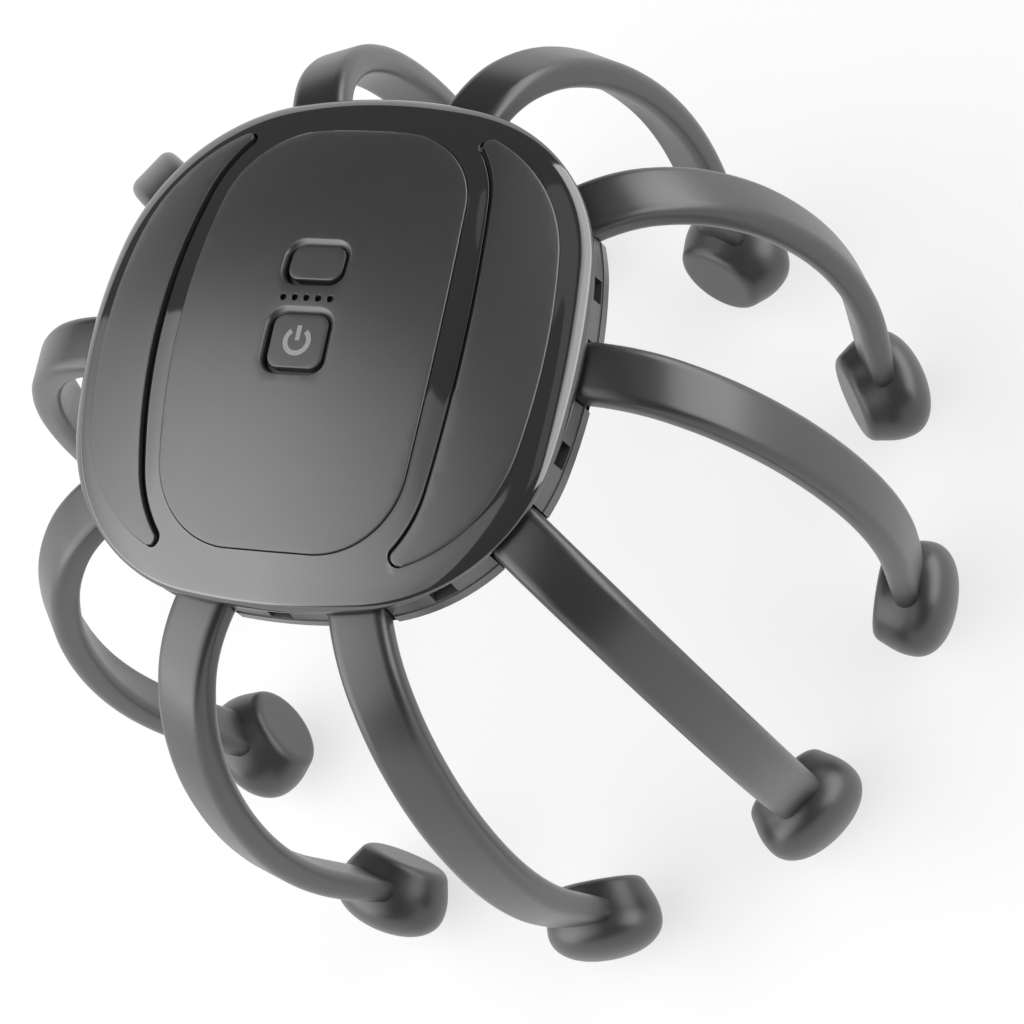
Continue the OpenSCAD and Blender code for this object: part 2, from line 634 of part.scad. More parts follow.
// Height of the underside at a distance inside the outline
function bowl_at(d) = d >= base_flat_inset ? -base_depth
    : bowl_z - sqrt(bowl_r*bowl_r - (base_flat_inset - d)*(base_flat_inset - d));
function bowl_section(a) =
    let (s = asin((base_top - bowl_z)/bowl_r), t = asin((base_top - bowl_z)/(bowl_r - base_wall)))
    concat([for (i = [0:7]) let (f = s + (-90 - s)*i/7)
            [reach(inset(BODY, base_flat_inset - bowl_r*cos(f)), a), bowl_z + bowl_r*sin(f)]],
        [for (i = [6:-1:0]) let (f = t + (-90 - t)*i/6, r = bowl_r - base_wall)
            [reach(inset(BODY, base_flat_inset - r*cos(f)), a), bowl_z + r*sin(f)]]);
module bowl() {
    ring_loft([for (a = [0:3.6:356.4]) [for (s = bowl_section(a)) [s[0]*cos(a), s[0]*sin(a), s[1]]]]);
    translate([0, 0, -base_depth - foot_h]) linear_extrude(base_wall + foot_h + 0.2)
        outline(inset(BODY, base_flat_inset - 1));
}
// Posts that close an arm's trunnion seats from below
function post_foot(a, s) =
    let (x = root_r + trunnion_r, y = slot_half + cheek_t/2)
    bowl_at(reach(BODY, a + s*atan2(y, x)) - norm([x, y])) + 0.35;
module trunnion_posts(a) rotate(a) for (s = [-1, 1])
    translate([root_r, s*(slot_half + cheek_t/2), 0]) difference() {
        translate([-trunnion_r, -cheek_t/2 + seat_gap, post_foot(a, s)])
            cube([2*trunnion_r, cheek_t - 2*seat_gap, -root_depth - post_foot(a, s)]);
        translate([0, 0, -root_depth]) rotate([90, 0, 0])
            cylinder(r = trunnion_r + run_gap, h = cheek_t + 2, center = true);
    }
saddle_h = 5;
module base_housing() raise() color("#3d3e40") difference() {
    union() {
        bowl();
        for (k = [0:arm_count - 1]) trunnion_posts(k*arm_step);
        for (a = screw_angles) rotate(a)
            translate([screw_at, 0, bowl_at(reach(BODY, a) - screw_at - boss_r) + 0.3])
                cylinder(r = boss_r, h = base_top - bowl_at(reach(BODY, a) - screw_at - boss_r) - 0.3);
        // Saddles under the motor
        for (x = [motor_nose_x - 3, motor_nose_x - motor_l + 1]) difference() {
            translate([x, motor_y - 6, floor_z - 0.5]) cube([2, 12, saddle_h]);
            translate([x - 1, motor_y, -motor_depth]) rotate([0, 90, 0])
                cylinder(r = motor_r + run_gap, h = 4);
        }
        // Corner ribs round the battery
        for (x = [-1, 1]) translate([x*(battery_l/2 + 0.8), battery_y + battery_w/2, floor_z + 0.8])
            cube([1, battery_w*0.6, 3.6], center = true);
        // Bosses under the strap's screws
        for (y = strap_ys) translate([strap_x, y, -base_depth + 0.2])
            cylinder(r = strap_foot_r, h = base_wall);
    }
    for (k = [0:arm_count - 1]) rotate(k*arm_step)
        translate([root_r + trunnion_r, -slot_half, -band_h - 1.3]) cube([12, 2*slot_half, 2]);
    for (a = screw_angles) rotate(a) translate([screw_at, 0, -base_depth - 1]) {
        cylinder(r = screw_r + 0.2, h = base_depth);
        cylinder(r = screw_r*2 + 0.2, h = base_depth - band_h - 4);
    }
    for (y = strap_ys) translate([strap_x, y, -base_depth + 0.5])
        cylinder(r = small_screw_r + run_gap/2, h = 3);
}

// ---- Circuit board and switches ----
board_half_w = screw_at*cos(screw_angles[2]) + board_edge_w;
board_half_l = screw_at*sin(screw_angles[2]) + board_edge_l;
module circuit_board() raise() color("#1f4d33") translate([0, 0, board_z]) linear_extrude(board_t)
    difference() {
        rounded(2*board_half_w, 2*board_half_l, 5);
        for (a = screw_angles) rotate(a) translate([screw_at, 0]) circle(small_screw_r + 0.1);
    }
module switch_body(y) translate([0, y, board_z + board_t]) difference() {
    translate([-switch_w/2, -switch_w/2, run_gap/2]) cube([switch_w, switch_w, switch_h - run_gap/2]);
    translate([0, 0, 1]) cylinder(r = plunger_r + run_gap, h = switch_h);
}
module plunger(y) translate([0, y, board_z + board_t + 1 + button_travel + 0.1])
    cylinder(r = plunger_r, h = switch_h + plunger_h - 1.1 - button_travel);
module power_switch() raise() color("#26272a") switch_body(power_y);
module mode_switch() raise() color("#26272a") switch_body(mode_y);
module power_plunger() raise() color("#d8d8d4") plunger(power_y);
module mode_plunger() raise() color("#d8d8d4") plunger(mode_y);
module indicator_leds() raise() color("#f2efe0") for (i = [0:light_count - 1])
    translate([(i - (light_count - 1)/2)*light_pitch - 0.5, light_y - 0.8, board_z + board_t + eps])
        cube([1, 1.6, 0.8]);
module screw(r, l, head_h) {
    translate([0, 0, -l]) cylinder(r = r, h = l);
    difference() {
        cylinder(r = 2*r, h = head_h);
        for (t = [0, 90]) rotate(t) translate([-1.2*r, -0.2*r, head_h/2]) cube([2.4*r, 0.4*r, head_h]);
    }
}
module board_screws() raise() color("#c9cbcd") for (a = screw_angles) rotate(a)
    translate([screw_at, 0, board_z + board_t + eps]) screw(small_screw_r, board_t + 2.6, small_head_h);
module base_screws() raise() color("#c9cbcd") for (a = screw_angles) rotate(a)
    translate([screw_at, 0, -band_h - 5 - eps]) rotate([180, 0, 0]) screw(screw_r, 10.2, 1.6);

// ---- Places in the base: the motor fills its height, and the battery lies beside the strap ----
motor_r = (base_depth - base_wall - motor_lift + board_z - motor_top_gap)/2;
motor_depth = base_depth - base_wall - motor_lift - motor_r;
motor_y = motor_edge - body_half;
weight_r = motor_r - weight_less;
cap_l = 2;
strap_x = motor_nose_x - motor_l/2;
strap_ys = [for (s = [-1, 1]) motor_y + s*(motor_r + strap_t + strap_screw_out)];

// ---- Battery and leads ----
battery_y = strap_ys[1] + strap_foot_r + battery_gap;
battery_l = 2*(body_half - battery_end_gap);
battery_w = body_half - battery_far_gap - battery_y;
battery_z = floor_z + 0.3;
module battery() raise() color("#5f7fa8") translate([-battery_l/2, battery_y, battery_z])
    difference() {
        cube([battery_l, battery_w, battery_h]);
        translate([battery_l - 2, 3, battery_h - 1.5]) cube([3, battery_w - 6, 2]);
    }
module wire(points, r) {
    for (i = [0:len(points) - 2]) let (v = points[i + 1] - points[i])
        translate(points[i]) rotate([0, acos(v[2]/norm(v)), atan2(v[1], v[0])])
            cylinder(r = r, h = norm(v), $fn = 24);
    for (i = [1:len(points) - 2]) translate(points[i]) sphere(r + 0.03, $fn = 24);
}
lead_r = 0.55;
module battery_leads() raise() color("#a33a32") for (y = [-1.5, 1.5])
    wire([[battery_l/2 - 2 + eps, battery_y + battery_w/2 + y, battery_z + battery_h - 0.8],
        [board_half_w - 0.6, battery_y + battery_w/2 + y, battery_z + battery_h - 0.8],
        [board_half_w - 0.6, battery_y + battery_w/2 + y, board_z - eps]], lead_r);
module motor_leads() raise() color("#2c2d30") for (y = [-3, 3])
    wire([[motor_nose_x - motor_l - cap_l, motor_y + y, -motor_depth],
        [motor_nose_x - motor_l - cap_l - 1.8, motor_y + y, -motor_depth],
        [motor_nose_x - motor_l - cap_l - 1.8, motor_y + y, board_z - eps]], lead_r);
module charge_leads() raise() color("#2c2d30") for (x = [-2, 2])
    wire([[x, ring_in + 0.6, port_z - port_h/2 - port_board_t/2], [x, ring_in - 3, port_z - port_h/2 - 0.5],
        [x, board_half_l - 1, board_z - 1.6], [x, board_half_l - 1, board_z - eps]], lead_r);

// ---- Motor with an eccentric weight ----
module along_motor(x, r, l) translate([x, motor_y, -motor_depth]) rotate([0, 90, 0])
    cylinder(r = r, h = l);
module motor_can() raise() color("#b4b6b8") difference() {
    union() {
        along_motor(motor_nose_x - motor_l, motor_r, motor_l);
        along_motor(motor_nose_x - eps, 2.5, 1.2);
    }
    along_motor(motor_nose_x - motor_l + 4, shaft_r + run_gap, motor_l + 2);
}
module motor_end_cap() raise() color("#e2e0d8")
    along_motor(motor_nose_x - motor_l - cap_l, motor_r - 0.8, cap_l - eps);
weight_x = motor_nose_x + 2.6;
module motor_shaft() raise() color("#c9cbcd")
    along_motor(motor_nose_x - motor_l + 5, shaft_r, motor_l - 5 + weight_x - motor_nose_x + weight_t + 0.8);
module eccentric_weight() raise() color("#8d8f92") difference() {
    union() {
        intersection() {
            along_motor(weight_x, weight_r, weight_t);
            translate([weight_x - 1, motor_y - weight_r, -motor_depth - weight_r])
                cube([weight_t + 2, 2*weight_r, weight_r]);
        }
        along_motor(weight_x, 2.6, weight_t);
    }
    along_motor(weight_x - 1, shaft_r + 0.01, weight_t + 2);
}
module motor_strap() raise() color("#c9cbcd") difference() {
    union() {
        along_motor(strap_x - strap_w/2, motor_r + run_gap + strap_t, strap_w);
        translate([strap_x - strap_w/2, motor_y - motor_r - strap_t - run_gap, floor_z + 0.25])
            cube([strap_w, 2*(motor_r + strap_t + run_gap), -floor_z - 0.25 - motor_depth]);
        translate([strap_x - strap_w/2, strap_ys[0] - strap_foot_r, floor_z + 0.25])
            cube([strap_w, strap_ys[1] - strap_ys[0] + 2*strap_foot_r, 1.2]);
    }
    along_motor(strap_x - strap_w, motor_r + run_gap, 2*strap_w);
    translate([strap_x - strap_w, motor_y - motor_r - run_gap, -base_depth])
        cube([2*strap_w, 2*(motor_r + run_gap), base_depth - motor_depth]);
    for (y = strap_ys) translate([strap_x, y, -base_depth]) cylinder(r = small_screw_r + 0.1, h = 6);
}
module strap_screws() raise() color("#c9cbcd") for (y = strap_ys)
    translate([strap_x, y, floor_z + 1.46]) screw(small_screw_r, 2.8, 0.9);

// ---- Arms and pads ----
// Each stretch is a little slimmer than the one before it, and starts inside it
arm_taper = 0.05;
overlap = 0.8;
module arm_section(d) rounded(arm_t + 2*d, arm_w + 2*d, arm_edge_r + d);
module bend(k) {
    p = path(k);
    r = BENDS[k][0];
    a = BENDS[k][1];
    back = k == 0 ? bend_start/r*60 : overlap/r*57.3;
    translate([p[0] - r*sin(p[2]), 0, p[1] - r*cos(p[2])]) rotate([90, 0, 0])
        rotate(90 - p[2] - a) rotate_extrude(angle = a + back) translate([r, 0])
            arm_section(-k*arm_taper);
}
module arm_tail(d, from, l) translate([arm_end[0], 0, arm_end[1]]) rotate([0, 90 + arm_end[2], 0])
    translate([0, 0, from]) linear_extrude(l) arm_section(d - len(BENDS)*arm_taper);
module arm() {
    translate([root_r, 0, -root_depth]) rotate([90, 0, 0]) {
        rotate_extrude() intersection() {
            arm_section(arm_taper);
            translate([0, -arm_w]) square(2*arm_w);
        }
        cylinder(r = trunnion_r, h = arm_w + 2*trunnion_l, center = true);
    }
    for (k = [0:len(BENDS) - 1]) bend(k);
    arm_tail(0, -overlap, tail_l + tip_past + overlap);
}
module place_arm(k) raise() rotate((k - 1)*arm_step) color("#5a5b5d") children();
// Half of a pad's section: X is the radius, Y the distance towards its flat face
module pad_profile() {
    back = [pad_r - pad_back_r, pad_back_r - pad_back];
    face = [pad_face_r - pad_face_round, pad_front - pad_face_round];
    v = face - back;
    n = atan2(v[1], v[0]) - acos((pad_back_r - pad_face_round)/norm(v));
    intersection() {
        union() {
            translate(back) circle(pad_back_r);
            translate(face) circle(pad_face_round);
            polygon([[0, -pad_back], [back[0], -pad_back], back + pad_back_r*[cos(n), sin(n)],
                face + pad_face_round*[cos(n), sin(n)], [face[0], pad_front], [0, pad_front]]);
        }
        translate([0, -tall]) square(2*tall);
    }
}
pad_back = pad_back_r;
module pad() difference() {
    translate([pad_mid[0], 0, pad_mid[1]]) rotate([0, -90 + pad_tilt, 0])
        rotate_extrude() pad_profile();
    arm_tail(run_gap, 0, tail_l + tip_past + run_gap);
}
module arm_1() place_arm(1) arm();
module arm_2() place_arm(2) arm();
module arm_3() place_arm(3) arm();
module arm_4() place_arm(4) arm();
module arm_5() place_arm(5) arm();
module arm_6() place_arm(6) arm();
module arm_7() place_arm(7) arm();
module arm_8() place_arm(8) arm();
module arm_9() place_arm(9) arm();
module arm_10() place_arm(10) arm();
module pad_1() place_arm(1) pad();
module pad_2() place_arm(2) pad();
module pad_3() place_arm(3) pad();
module pad_4() place_arm(4) pad();
module pad_5() place_arm(5) pad();
module pad_6() place_arm(6) pad();
module pad_7() place_arm(7) pad();
module pad_8() place_arm(8) pad();
module pad_9() place_arm(9) pad();
module pad_10() place_arm(10) pad();

top_cover();
centre_panel();
left_wing();
right_wing();
power_button();
mode_button();
light_guide();
arm_frame();
base_housing();
circuit_board();
power_switch();
mode_switch();
power_plunger();
mode_plunger();
indicator_leds();
board_screws();
battery();
battery_leads();
motor_can();
motor_end_cap();
motor_shaft();
eccentric_weight();
motor_strap();
strap_screws();
motor_leads();
charge_port();
charge_board();
charge_leads();
base_screws();
arm_1();
arm_2();
arm_3();
arm_4();
arm_5();
arm_6();
arm_7();
arm_8();
arm_9();
arm_10();
pad_1();
pad_2();
pad_3();
pad_4();
pad_5();
pad_6();
pad_7();
pad_8();
pad_9();
pad_10();
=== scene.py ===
"""Looks for the electric scalp massager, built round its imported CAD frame. Sizes are in millimetres."""

import math

import bmesh
import bpy
import numpy as np
from mathutils import Matrix, Vector
from mathutils.geometry import delaunay_2d_cdt


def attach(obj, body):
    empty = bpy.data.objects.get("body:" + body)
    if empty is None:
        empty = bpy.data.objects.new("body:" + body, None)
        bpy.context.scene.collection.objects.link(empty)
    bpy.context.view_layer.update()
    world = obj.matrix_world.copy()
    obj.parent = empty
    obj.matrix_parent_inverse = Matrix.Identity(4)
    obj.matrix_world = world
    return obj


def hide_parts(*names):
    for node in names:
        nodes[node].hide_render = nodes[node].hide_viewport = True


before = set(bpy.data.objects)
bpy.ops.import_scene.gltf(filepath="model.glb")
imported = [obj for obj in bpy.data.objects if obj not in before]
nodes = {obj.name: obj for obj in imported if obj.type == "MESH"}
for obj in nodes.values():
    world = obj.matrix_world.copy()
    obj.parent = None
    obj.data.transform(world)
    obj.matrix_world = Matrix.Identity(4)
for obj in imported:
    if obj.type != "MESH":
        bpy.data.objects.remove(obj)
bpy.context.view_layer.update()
MM = 0.001
ARM_COUNT = 10

# Height of the parting line under the top cover
LIP = 127.029

# ---- Outlines, made of four long arcs and four corner arcs ----
# [half-width, half-length, side radius, end radius, corner radius]
HALF = 47.7
BODY = (HALF, HALF, HALF + 54.3, HALF + 54.3, HALF - 12.3)
PANEL = (25.0, HALF - 8.8, 214.0, 300.0, 16.2)
WING_IN = (30.0, HALF - 1.2, 155.0, 60.0, 24.0)
DOME_H, DOME_DROP = 12.4, 9.46
DOME_R = (HALF ** 2 + DOME_DROP ** 2) / (2 * DOME_DROP)
RIM_W = 5.2


def inset(o, d):
    return tuple(v - d for v in o)


WING_OUT = (*inset(BODY, RIM_W)[:4], BODY[4] - RIM_W - 1.3)


def corner_centre(o):
    c1, c2 = np.array([o[0] - o[2], 0.0]), np.array([0.0, o[1] - o[3]])
    r1, r2 = o[2] - o[4], o[3] - o[4]
    d = np.linalg.norm(c2 - c1)
    u = (c2 - c1) / d
    t = (d * d + r1 * r1 - r2 * r2) / (2 * d)
    return c1 + t * u + math.sqrt(r1 * r1 - t * t) * np.array([-u[1], u[0]])


def arcs(o):
    """The first quadrant's arcs: (from, to) as angles of the normal, with centre and radius."""
    c = corner_centre(o)
    s = math.atan2(c[1], c[0] - o[0] + o[2])
    e = math.pi / 2 - math.atan2(c[0], c[1] - o[1] + o[3])
    return [(0, s, np.array([o[0] - o[2], 0.0]), o[2]), (s, e, c, o[4]),
            (e, math.pi / 2, np.array([0.0, o[1] - o[3]]), o[3])]


def edge_points(o, normals):
    """Points of an outline where its outward normal has the given angles."""
    quarter = arcs(o)
    out = []
    for a in normals:
        a = a % (2 * math.pi)
        q = int(a // (math.pi / 2)) % 4
        f = a - q * math.pi / 2
        if q % 2:
            f = math.pi / 2 - f
        arc = next((k for k in quarter if f <= k[1] + 1e-9), quarter[-1])
        p = arc[2] + arc[3] * np.array([math.cos(f), math.sin(f)])
        out.append((p[0] * (1, -1, -1, 1)[q], p[1] * (1, 1, -1, -1)[q]))
    return np.array(out)


def reach(o, angle):
    """Distance from the middle to an outline, along a ray."""
    a = abs((angle + math.pi) % (2 * math.pi) - math.pi)
    if a > math.pi / 2:
        a = math.pi - a
    u = np.array([math.cos(a), math.sin(a)])
    for lo, hi, c, r in arcs(o):
        b = float(u @ c)
        t = b + math.sqrt(max(0.0, b * b - float(c @ c) + r * r))
        n = t * u - c
        if lo - 1e-6 <= math.atan2(n[1], n[0]) <= hi + 1e-6:
            return t
    return t


def dome(x, y=0.0):
    return DOME_H - DOME_R + np.sqrt(DOME_R ** 2 - np.square(x) - np.square(y))


def smooth_step(x):
    x = min(1.0, max(0.0, x))
    return x * x * (3 - 2 * x)


# ---- Mesh helpers ----
def add_object(name, verts, faces, body, material, smooth=True, z0=LIP):
    mesh = bpy.data.meshes.new(name)
    mesh.from_pydata([(x * MM, y * MM, (z + z0) * MM) for x, y, z in verts], [], faces)
    mesh.validate()
    bm = bmesh.new()
    bm.from_mesh(mesh)
    bmesh.ops.recalc_face_normals(bm, faces=bm.faces)
    bm.to_mesh(mesh)
    bm.free()
    mesh.materials.append(material)
    for p in mesh.polygons:
        p.use_smooth = smooth
    obj = bpy.data.objects.new(name, mesh)
    bpy.context.scene.collection.objects.link(obj)
    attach(obj, body)
    return obj


def sharpen(obj, degrees):
    """Keeps edges over an angle crisp where the surface is otherwise smooth."""
    mesh = obj.data
    bm = bmesh.new()
    bm.from_mesh(mesh)
    limit = math.radians(degrees)
    for e in bm.edges:
        e.smooth = len(e.link_faces) == 2 and e.calc_face_angle(0) < limit
    bm.to_mesh(mesh)
    bm.free()


def rows_to_faces(counts, closed_rows, closed_cols):
    n, m = counts
    faces = []
    for i in range(n if closed_rows else n - 1):
        for j in range(m if closed_cols else m - 1):
            a, b = i * m + j, i * m + (j + 1) % m
            c, d = ((i + 1) % n) * m + (j + 1) % m, ((i + 1) % n) * m + j
            faces.append((a, b, c, d))
    return faces


def inside(points, loop):
    """Which points lie inside a closed loop."""
    x, y = points[:, 0], points[:, 1]
    hit = np.zeros(len(points), bool)
    q = np.roll(loop, -1, axis=0)
    for (x1, y1), (x2, y2) in zip(loop, q):
        if y1 == y2:
            continue
        cross = (y1 > y) != (y2 > y)
        hit ^= cross & (x < (x2 - x1) * (y - y1) / (y2 - y1) + x1)
    return hit


def fill(outer, holes, step, height):
    """Triangles inside a loop and outside its holes, with a grid of points in between."""
    loops = [outer] + holes
    pts, edges = [], []
    for loop in loops:
        k = len(pts)
        pts += [tuple(p) for p in loop]
        edges += [(k + i, k + (i + 1) % len(loop)) for i in range(len(loop))]
    if step:
        lo, hi = outer.min(0), outer.max(0)
        xs, ys = np.arange(lo[0], hi[0], step), np.arange(lo[1], hi[1], step * 0.866)
        g = np.array([(x + (j % 2) * step / 2, y) for j, y in enumerate(ys) for x in xs])
        keep = inside(g, outer)
        for h in holes:
            keep &= ~inside(g, h)
        g = g[keep]
        near = np.array([min(np.min(np.hypot(*(loop - p).T)) for loop in loops) for p in g])
        g = g[near > step * 0.45]
        pts += [tuple(p) for p in g]
    out = delaunay_2d_cdt([Vector(p) for p in pts], edges, [], 0, 1e-7)
    v2 = np.array([(v.x, v.y) for v in out[0]])
    tri = [f for f in out[2] if len(f) == 3]
    mid = np.array([v2[list(f)].mean(0) for f in tri])
    keep = inside(mid, outer)
    for h in holes:
        keep &= ~inside(mid, h)
    # where each given point went
    where = {}
    for new, olds in enumerate(out[3]):
        for old in olds:
            where[old] = new
    return v2, [f for f, k in zip(tri, keep) if k], where, height(v2[:, 0], v2[:, 1])


class Build:
    """Collects vertices and faces, and joins them into one object."""

    def __init__(self):
        self.verts, self.faces = [], []

    def add(self, verts):
        k = len(self.verts)
        self.verts += [tuple(map(float, v)) for v in verts]
        return list(range(k, k + len(verts)))

    def bridge(self, a, b, closed=True):
        n = len(a)
        for i in range(n if closed else n - 1):
            j = (i + 1) % n
            self.faces.append((a[i], a[j], b[j], b[i]))

    def close(self, first, last):
        """Flat faces over both ends of a row of rings."""
        self.faces.append(tuple(first[::-1]))
        self.faces.append(tuple(last))

    def rod(self, first, last):
        """A closed rod between two rings of points."""
        ends = [self.add(first), self.add(last)]
        self.bridge(*ends)
        self.close(*ends)

    def cap(self, loops, ids, step, height):
        """Fills between rows of vertices that are there already."""
        v2, tri, where, z = fill(loops[0], loops[1:], step, height)
        known = {}
        k = 0
        for row in ids:
            for v in row:
                known[where[k]] = v
                k += 1
        new = {}
        for i in range(len(v2)):
            if i not in known:
                new[i] = self.add([(v2[i][0], v2[i][1], z[i])])[0]
        for f in tri:
            self.faces.append(tuple(known.get(i, new.get(i)) for i in f))


def fillet(r, n=4):
    """A quarter round from a wall's top to the face beside it: (distance in, height)."""
    return [(r * (1 - math.cos(t)), -r * (1 - math.sin(t)))
            for t in np.linspace(0, math.pi / 2, n + 1)]


def plate(name, rim, height, low, r, body, material, holes=(), step=1.6, under_step=None):
    """A domed plate. rim(d) is its edge moved in by d; a hole is (ring(d), profile)."""
    b = Build()
    loops, ids, lows, low_ids = [], [], [], []
    for ring, profile in [(rim, [(0, None)] + fillet(r))] + list(holes):
        rows = []
        for d, dz in profile:
            p = ring(d)
            z = low(p[:, 0], p[:, 1]) if dz is None else height(p[:, 0], p[:, 1]) + dz
            rows.append((p, b.add(np.column_stack([p, z]))))
        for (_, a), (_, c) in zip(rows, rows[1:]):
            b.bridge(a, c)
        loops.append(rows[-1][0])
        ids.append(rows[-1][1])
        lows.append(rows[0][0])
        low_ids.append(rows[0][1])
    b.cap(loops, ids, step, height)
    b.cap(lows, low_ids, under_step, low)
    obj = add_object(name, b.verts, b.faces, body, material)
    sharpen(obj, 35)
    return obj


def rounded_box(w, l, r, y, n=10):
    """The ring of a rectangle with round corners, that d moves outwards."""
    def ring(d):
        out = []
        for q in range(4):
            sx, sy = (1, -1, -1, 1)[q], (1, 1, -1, -1)[q]
            for t in np.linspace(q * math.pi / 2, (q + 1) * math.pi / 2, n):
                out.append((sx * (w / 2 - r) + (r + d) * math.cos(t),
                            y + sy * (l / 2 - r) + (r + d) * math.sin(t)))
        return np.array(out)
    return ring


def circle_ring(x, y, r, n=20):
    t = np.linspace(0, 2 * math.pi, n, endpoint=False)
    return lambda d: np.column_stack([x + (r + d) * np.cos(t), y + (r + d) * np.sin(t)])


# ---- Materials ----
def plain_material(name, colour, roughness, grain=0.12, depth=0.02, vary=0.06, ior=1.5,
                   blotch=9.0, rough_vary=0.06):
    """Moulded plastic or rubber: fine grain, slow changes of tone and of gloss. Sizes in mm."""
    m = bpy.data.materials.new(name)
    m.use_nodes = True
    nt = m.node_tree
    bsdf = nt.nodes["Principled BSDF"]
    bsdf.inputs["Base Color"].default_value = (*colour, 1)
    bsdf.inputs["IOR"].default_value = ior
    where = nt.nodes.new("ShaderNodeTexCoord")

    def noise(size_mm, detail):
        n = nt.nodes.new("ShaderNodeTexNoise")
        n.inputs["Scale"].default_value = 1000.0 / size_mm
        n.inputs["Detail"].default_value = detail
        nt.links.new(where.outputs["Object"], n.inputs["Vector"])
        return n

    slow = noise(blotch, 3)
    tone = nt.nodes.new("ShaderNodeMix")
    tone.data_type = "RGBA"
    tone.inputs["A"].default_value = (*[c * (1 - vary) for c in colour], 1)
    tone.inputs["B"].default_value = (*[c * (1 + vary) for c in colour], 1)
    nt.links.new(slow.outputs["Fac"], tone.inputs["Factor"])
    nt.links.new(tone.outputs["Result"], bsdf.inputs["Base Color"])
    gloss = nt.nodes.new("ShaderNodeMapRange")
    gloss.inputs["To Min"].default_value = roughness - rough_vary / 2
    gloss.inputs["To Max"].default_value = roughness + rough_vary / 2
    nt.links.new(noise(blotch * 0.4, 4).outputs["Fac"], gloss.inputs["Value"])
    nt.links.new(gloss.outputs["Result"], bsdf.inputs["Roughness"])
    if depth:
        bump = nt.nodes.new("ShaderNodeBump")
        bump.inputs["Strength"].default_value = 0.6
        bump.inputs["Distance"].default_value = depth * MM
        nt.links.new(noise(grain, 2).outputs["Fac"], bump.inputs["Height"])
        nt.links.new(bump.outputs["Normal"], bsdf.inputs["Normal"])
    return m


def metal_material(name, colour, roughness, streak_mm=0.4):
    m = bpy.data.materials.new(name)
    m.use_nodes = True
    nt = m.node_tree
    bsdf = nt.nodes["Principled BSDF"]
    bsdf.inputs["Metallic"].default_value = 1.0
    where = nt.nodes.new("ShaderNodeTexCoord")
    noise = nt.nodes.new("ShaderNodeTexNoise")
    noise.inputs["Scale"].default_value = 1000.0 / streak_mm
    noise.inputs["Detail"].default_value = 3
    nt.links.new(where.outputs["Object"], noise.inputs["Vector"])
    tone = nt.nodes.new("ShaderNodeMix")
    tone.data_type = "RGBA"
    tone.inputs["A"].default_value = (*[c * 0.9 for c in colour], 1)
    tone.inputs["B"].default_value = (*colour, 1)
    nt.links.new(noise.outputs["Fac"], tone.inputs["Factor"])
    nt.links.new(tone.outputs["Result"], bsdf.inputs["Base Color"])
    rough = nt.nodes.new("ShaderNodeMapRange")
    rough.inputs["To Min"].default_value = roughness * 0.7
    rough.inputs["To Max"].default_value = roughness * 1.3
    nt.links.new(noise.outputs["Fac"], rough.inputs["Value"])
    nt.links.new(rough.outputs["Result"], bsdf.inputs["Roughness"])
    return m


GLOSS = plain_material("gloss_cover", (0.022, 0.0222, 0.0235), 0.06, depth=0.0, vary=0.03,
                       rough_vary=0.02, ior=2.0)
SATIN = plain_material("satin_panel", (0.025, 0.0252, 0.0265), 0.38, grain=0.16, depth=0.006,
                       ior=2.0)
BUTTON = plain_material("button_plastic", (0.038, 0.0385, 0.04), 0.42, grain=0.16, depth=0.006,
                        ior=1.8)
FRAME = plain_material("frame_plastic", (0.085, 0.086, 0.089), 0.3, grain=0.2, depth=0.004, ior=1.7)
BASE = plain_material("base_plastic", (0.045, 0.0455, 0.048), 0.4, grain=0.25, depth=0.012, ior=1.6)
LENS = plain_material("light_lens", (0.006, 0.006, 0.007), 0.15, depth=0.0)
ARM = plain_material("arm_rubber", (0.02, 0.0203, 0.0216), 0.33, grain=0.22, depth=0.005, ior=1.8)
PAD = plain_material("pad_rubber", (0.032, 0.0324, 0.0344), 0.36, grain=0.22, depth=0.005, ior=1.76)
SYMBOL = plain_material("printed_symbol", (0.30, 0.30, 0.31), 0.5, depth=0.0)
BOARD = plain_material("board", (0.02, 0.12, 0.05), 0.3, grain=0.3, depth=0.004)
SWITCH = plain_material("switch_plastic", (0.02, 0.02, 0.021), 0.5)
WHITE = plain_material("white_plastic", (0.72, 0.71, 0.66), 0.45)
LED = plain_material("led_body", (0.8, 0.78, 0.62), 0.2, depth=0.0)
FILM = plain_material("battery_film", (0.05, 0.12, 0.32), 0.25, grain=1.5, depth=0.03)
RED = plain_material("red_lead", (0.45, 0.02, 0.015), 0.4)
BLACK = plain_material("black_lead", (0.015, 0.015, 0.015), 0.45)
STEEL = metal_material("screw_steel", (0.62, 0.62, 0.63), 0.3)
CAN = metal_material("motor_steel", (0.58, 0.58, 0.6), 0.28)
WEIGHT = metal_material("weight_metal", (0.3, 0.3, 0.31), 0.5)
SHELL = metal_material("port_steel", (0.7, 0.7, 0.71), 0.16)

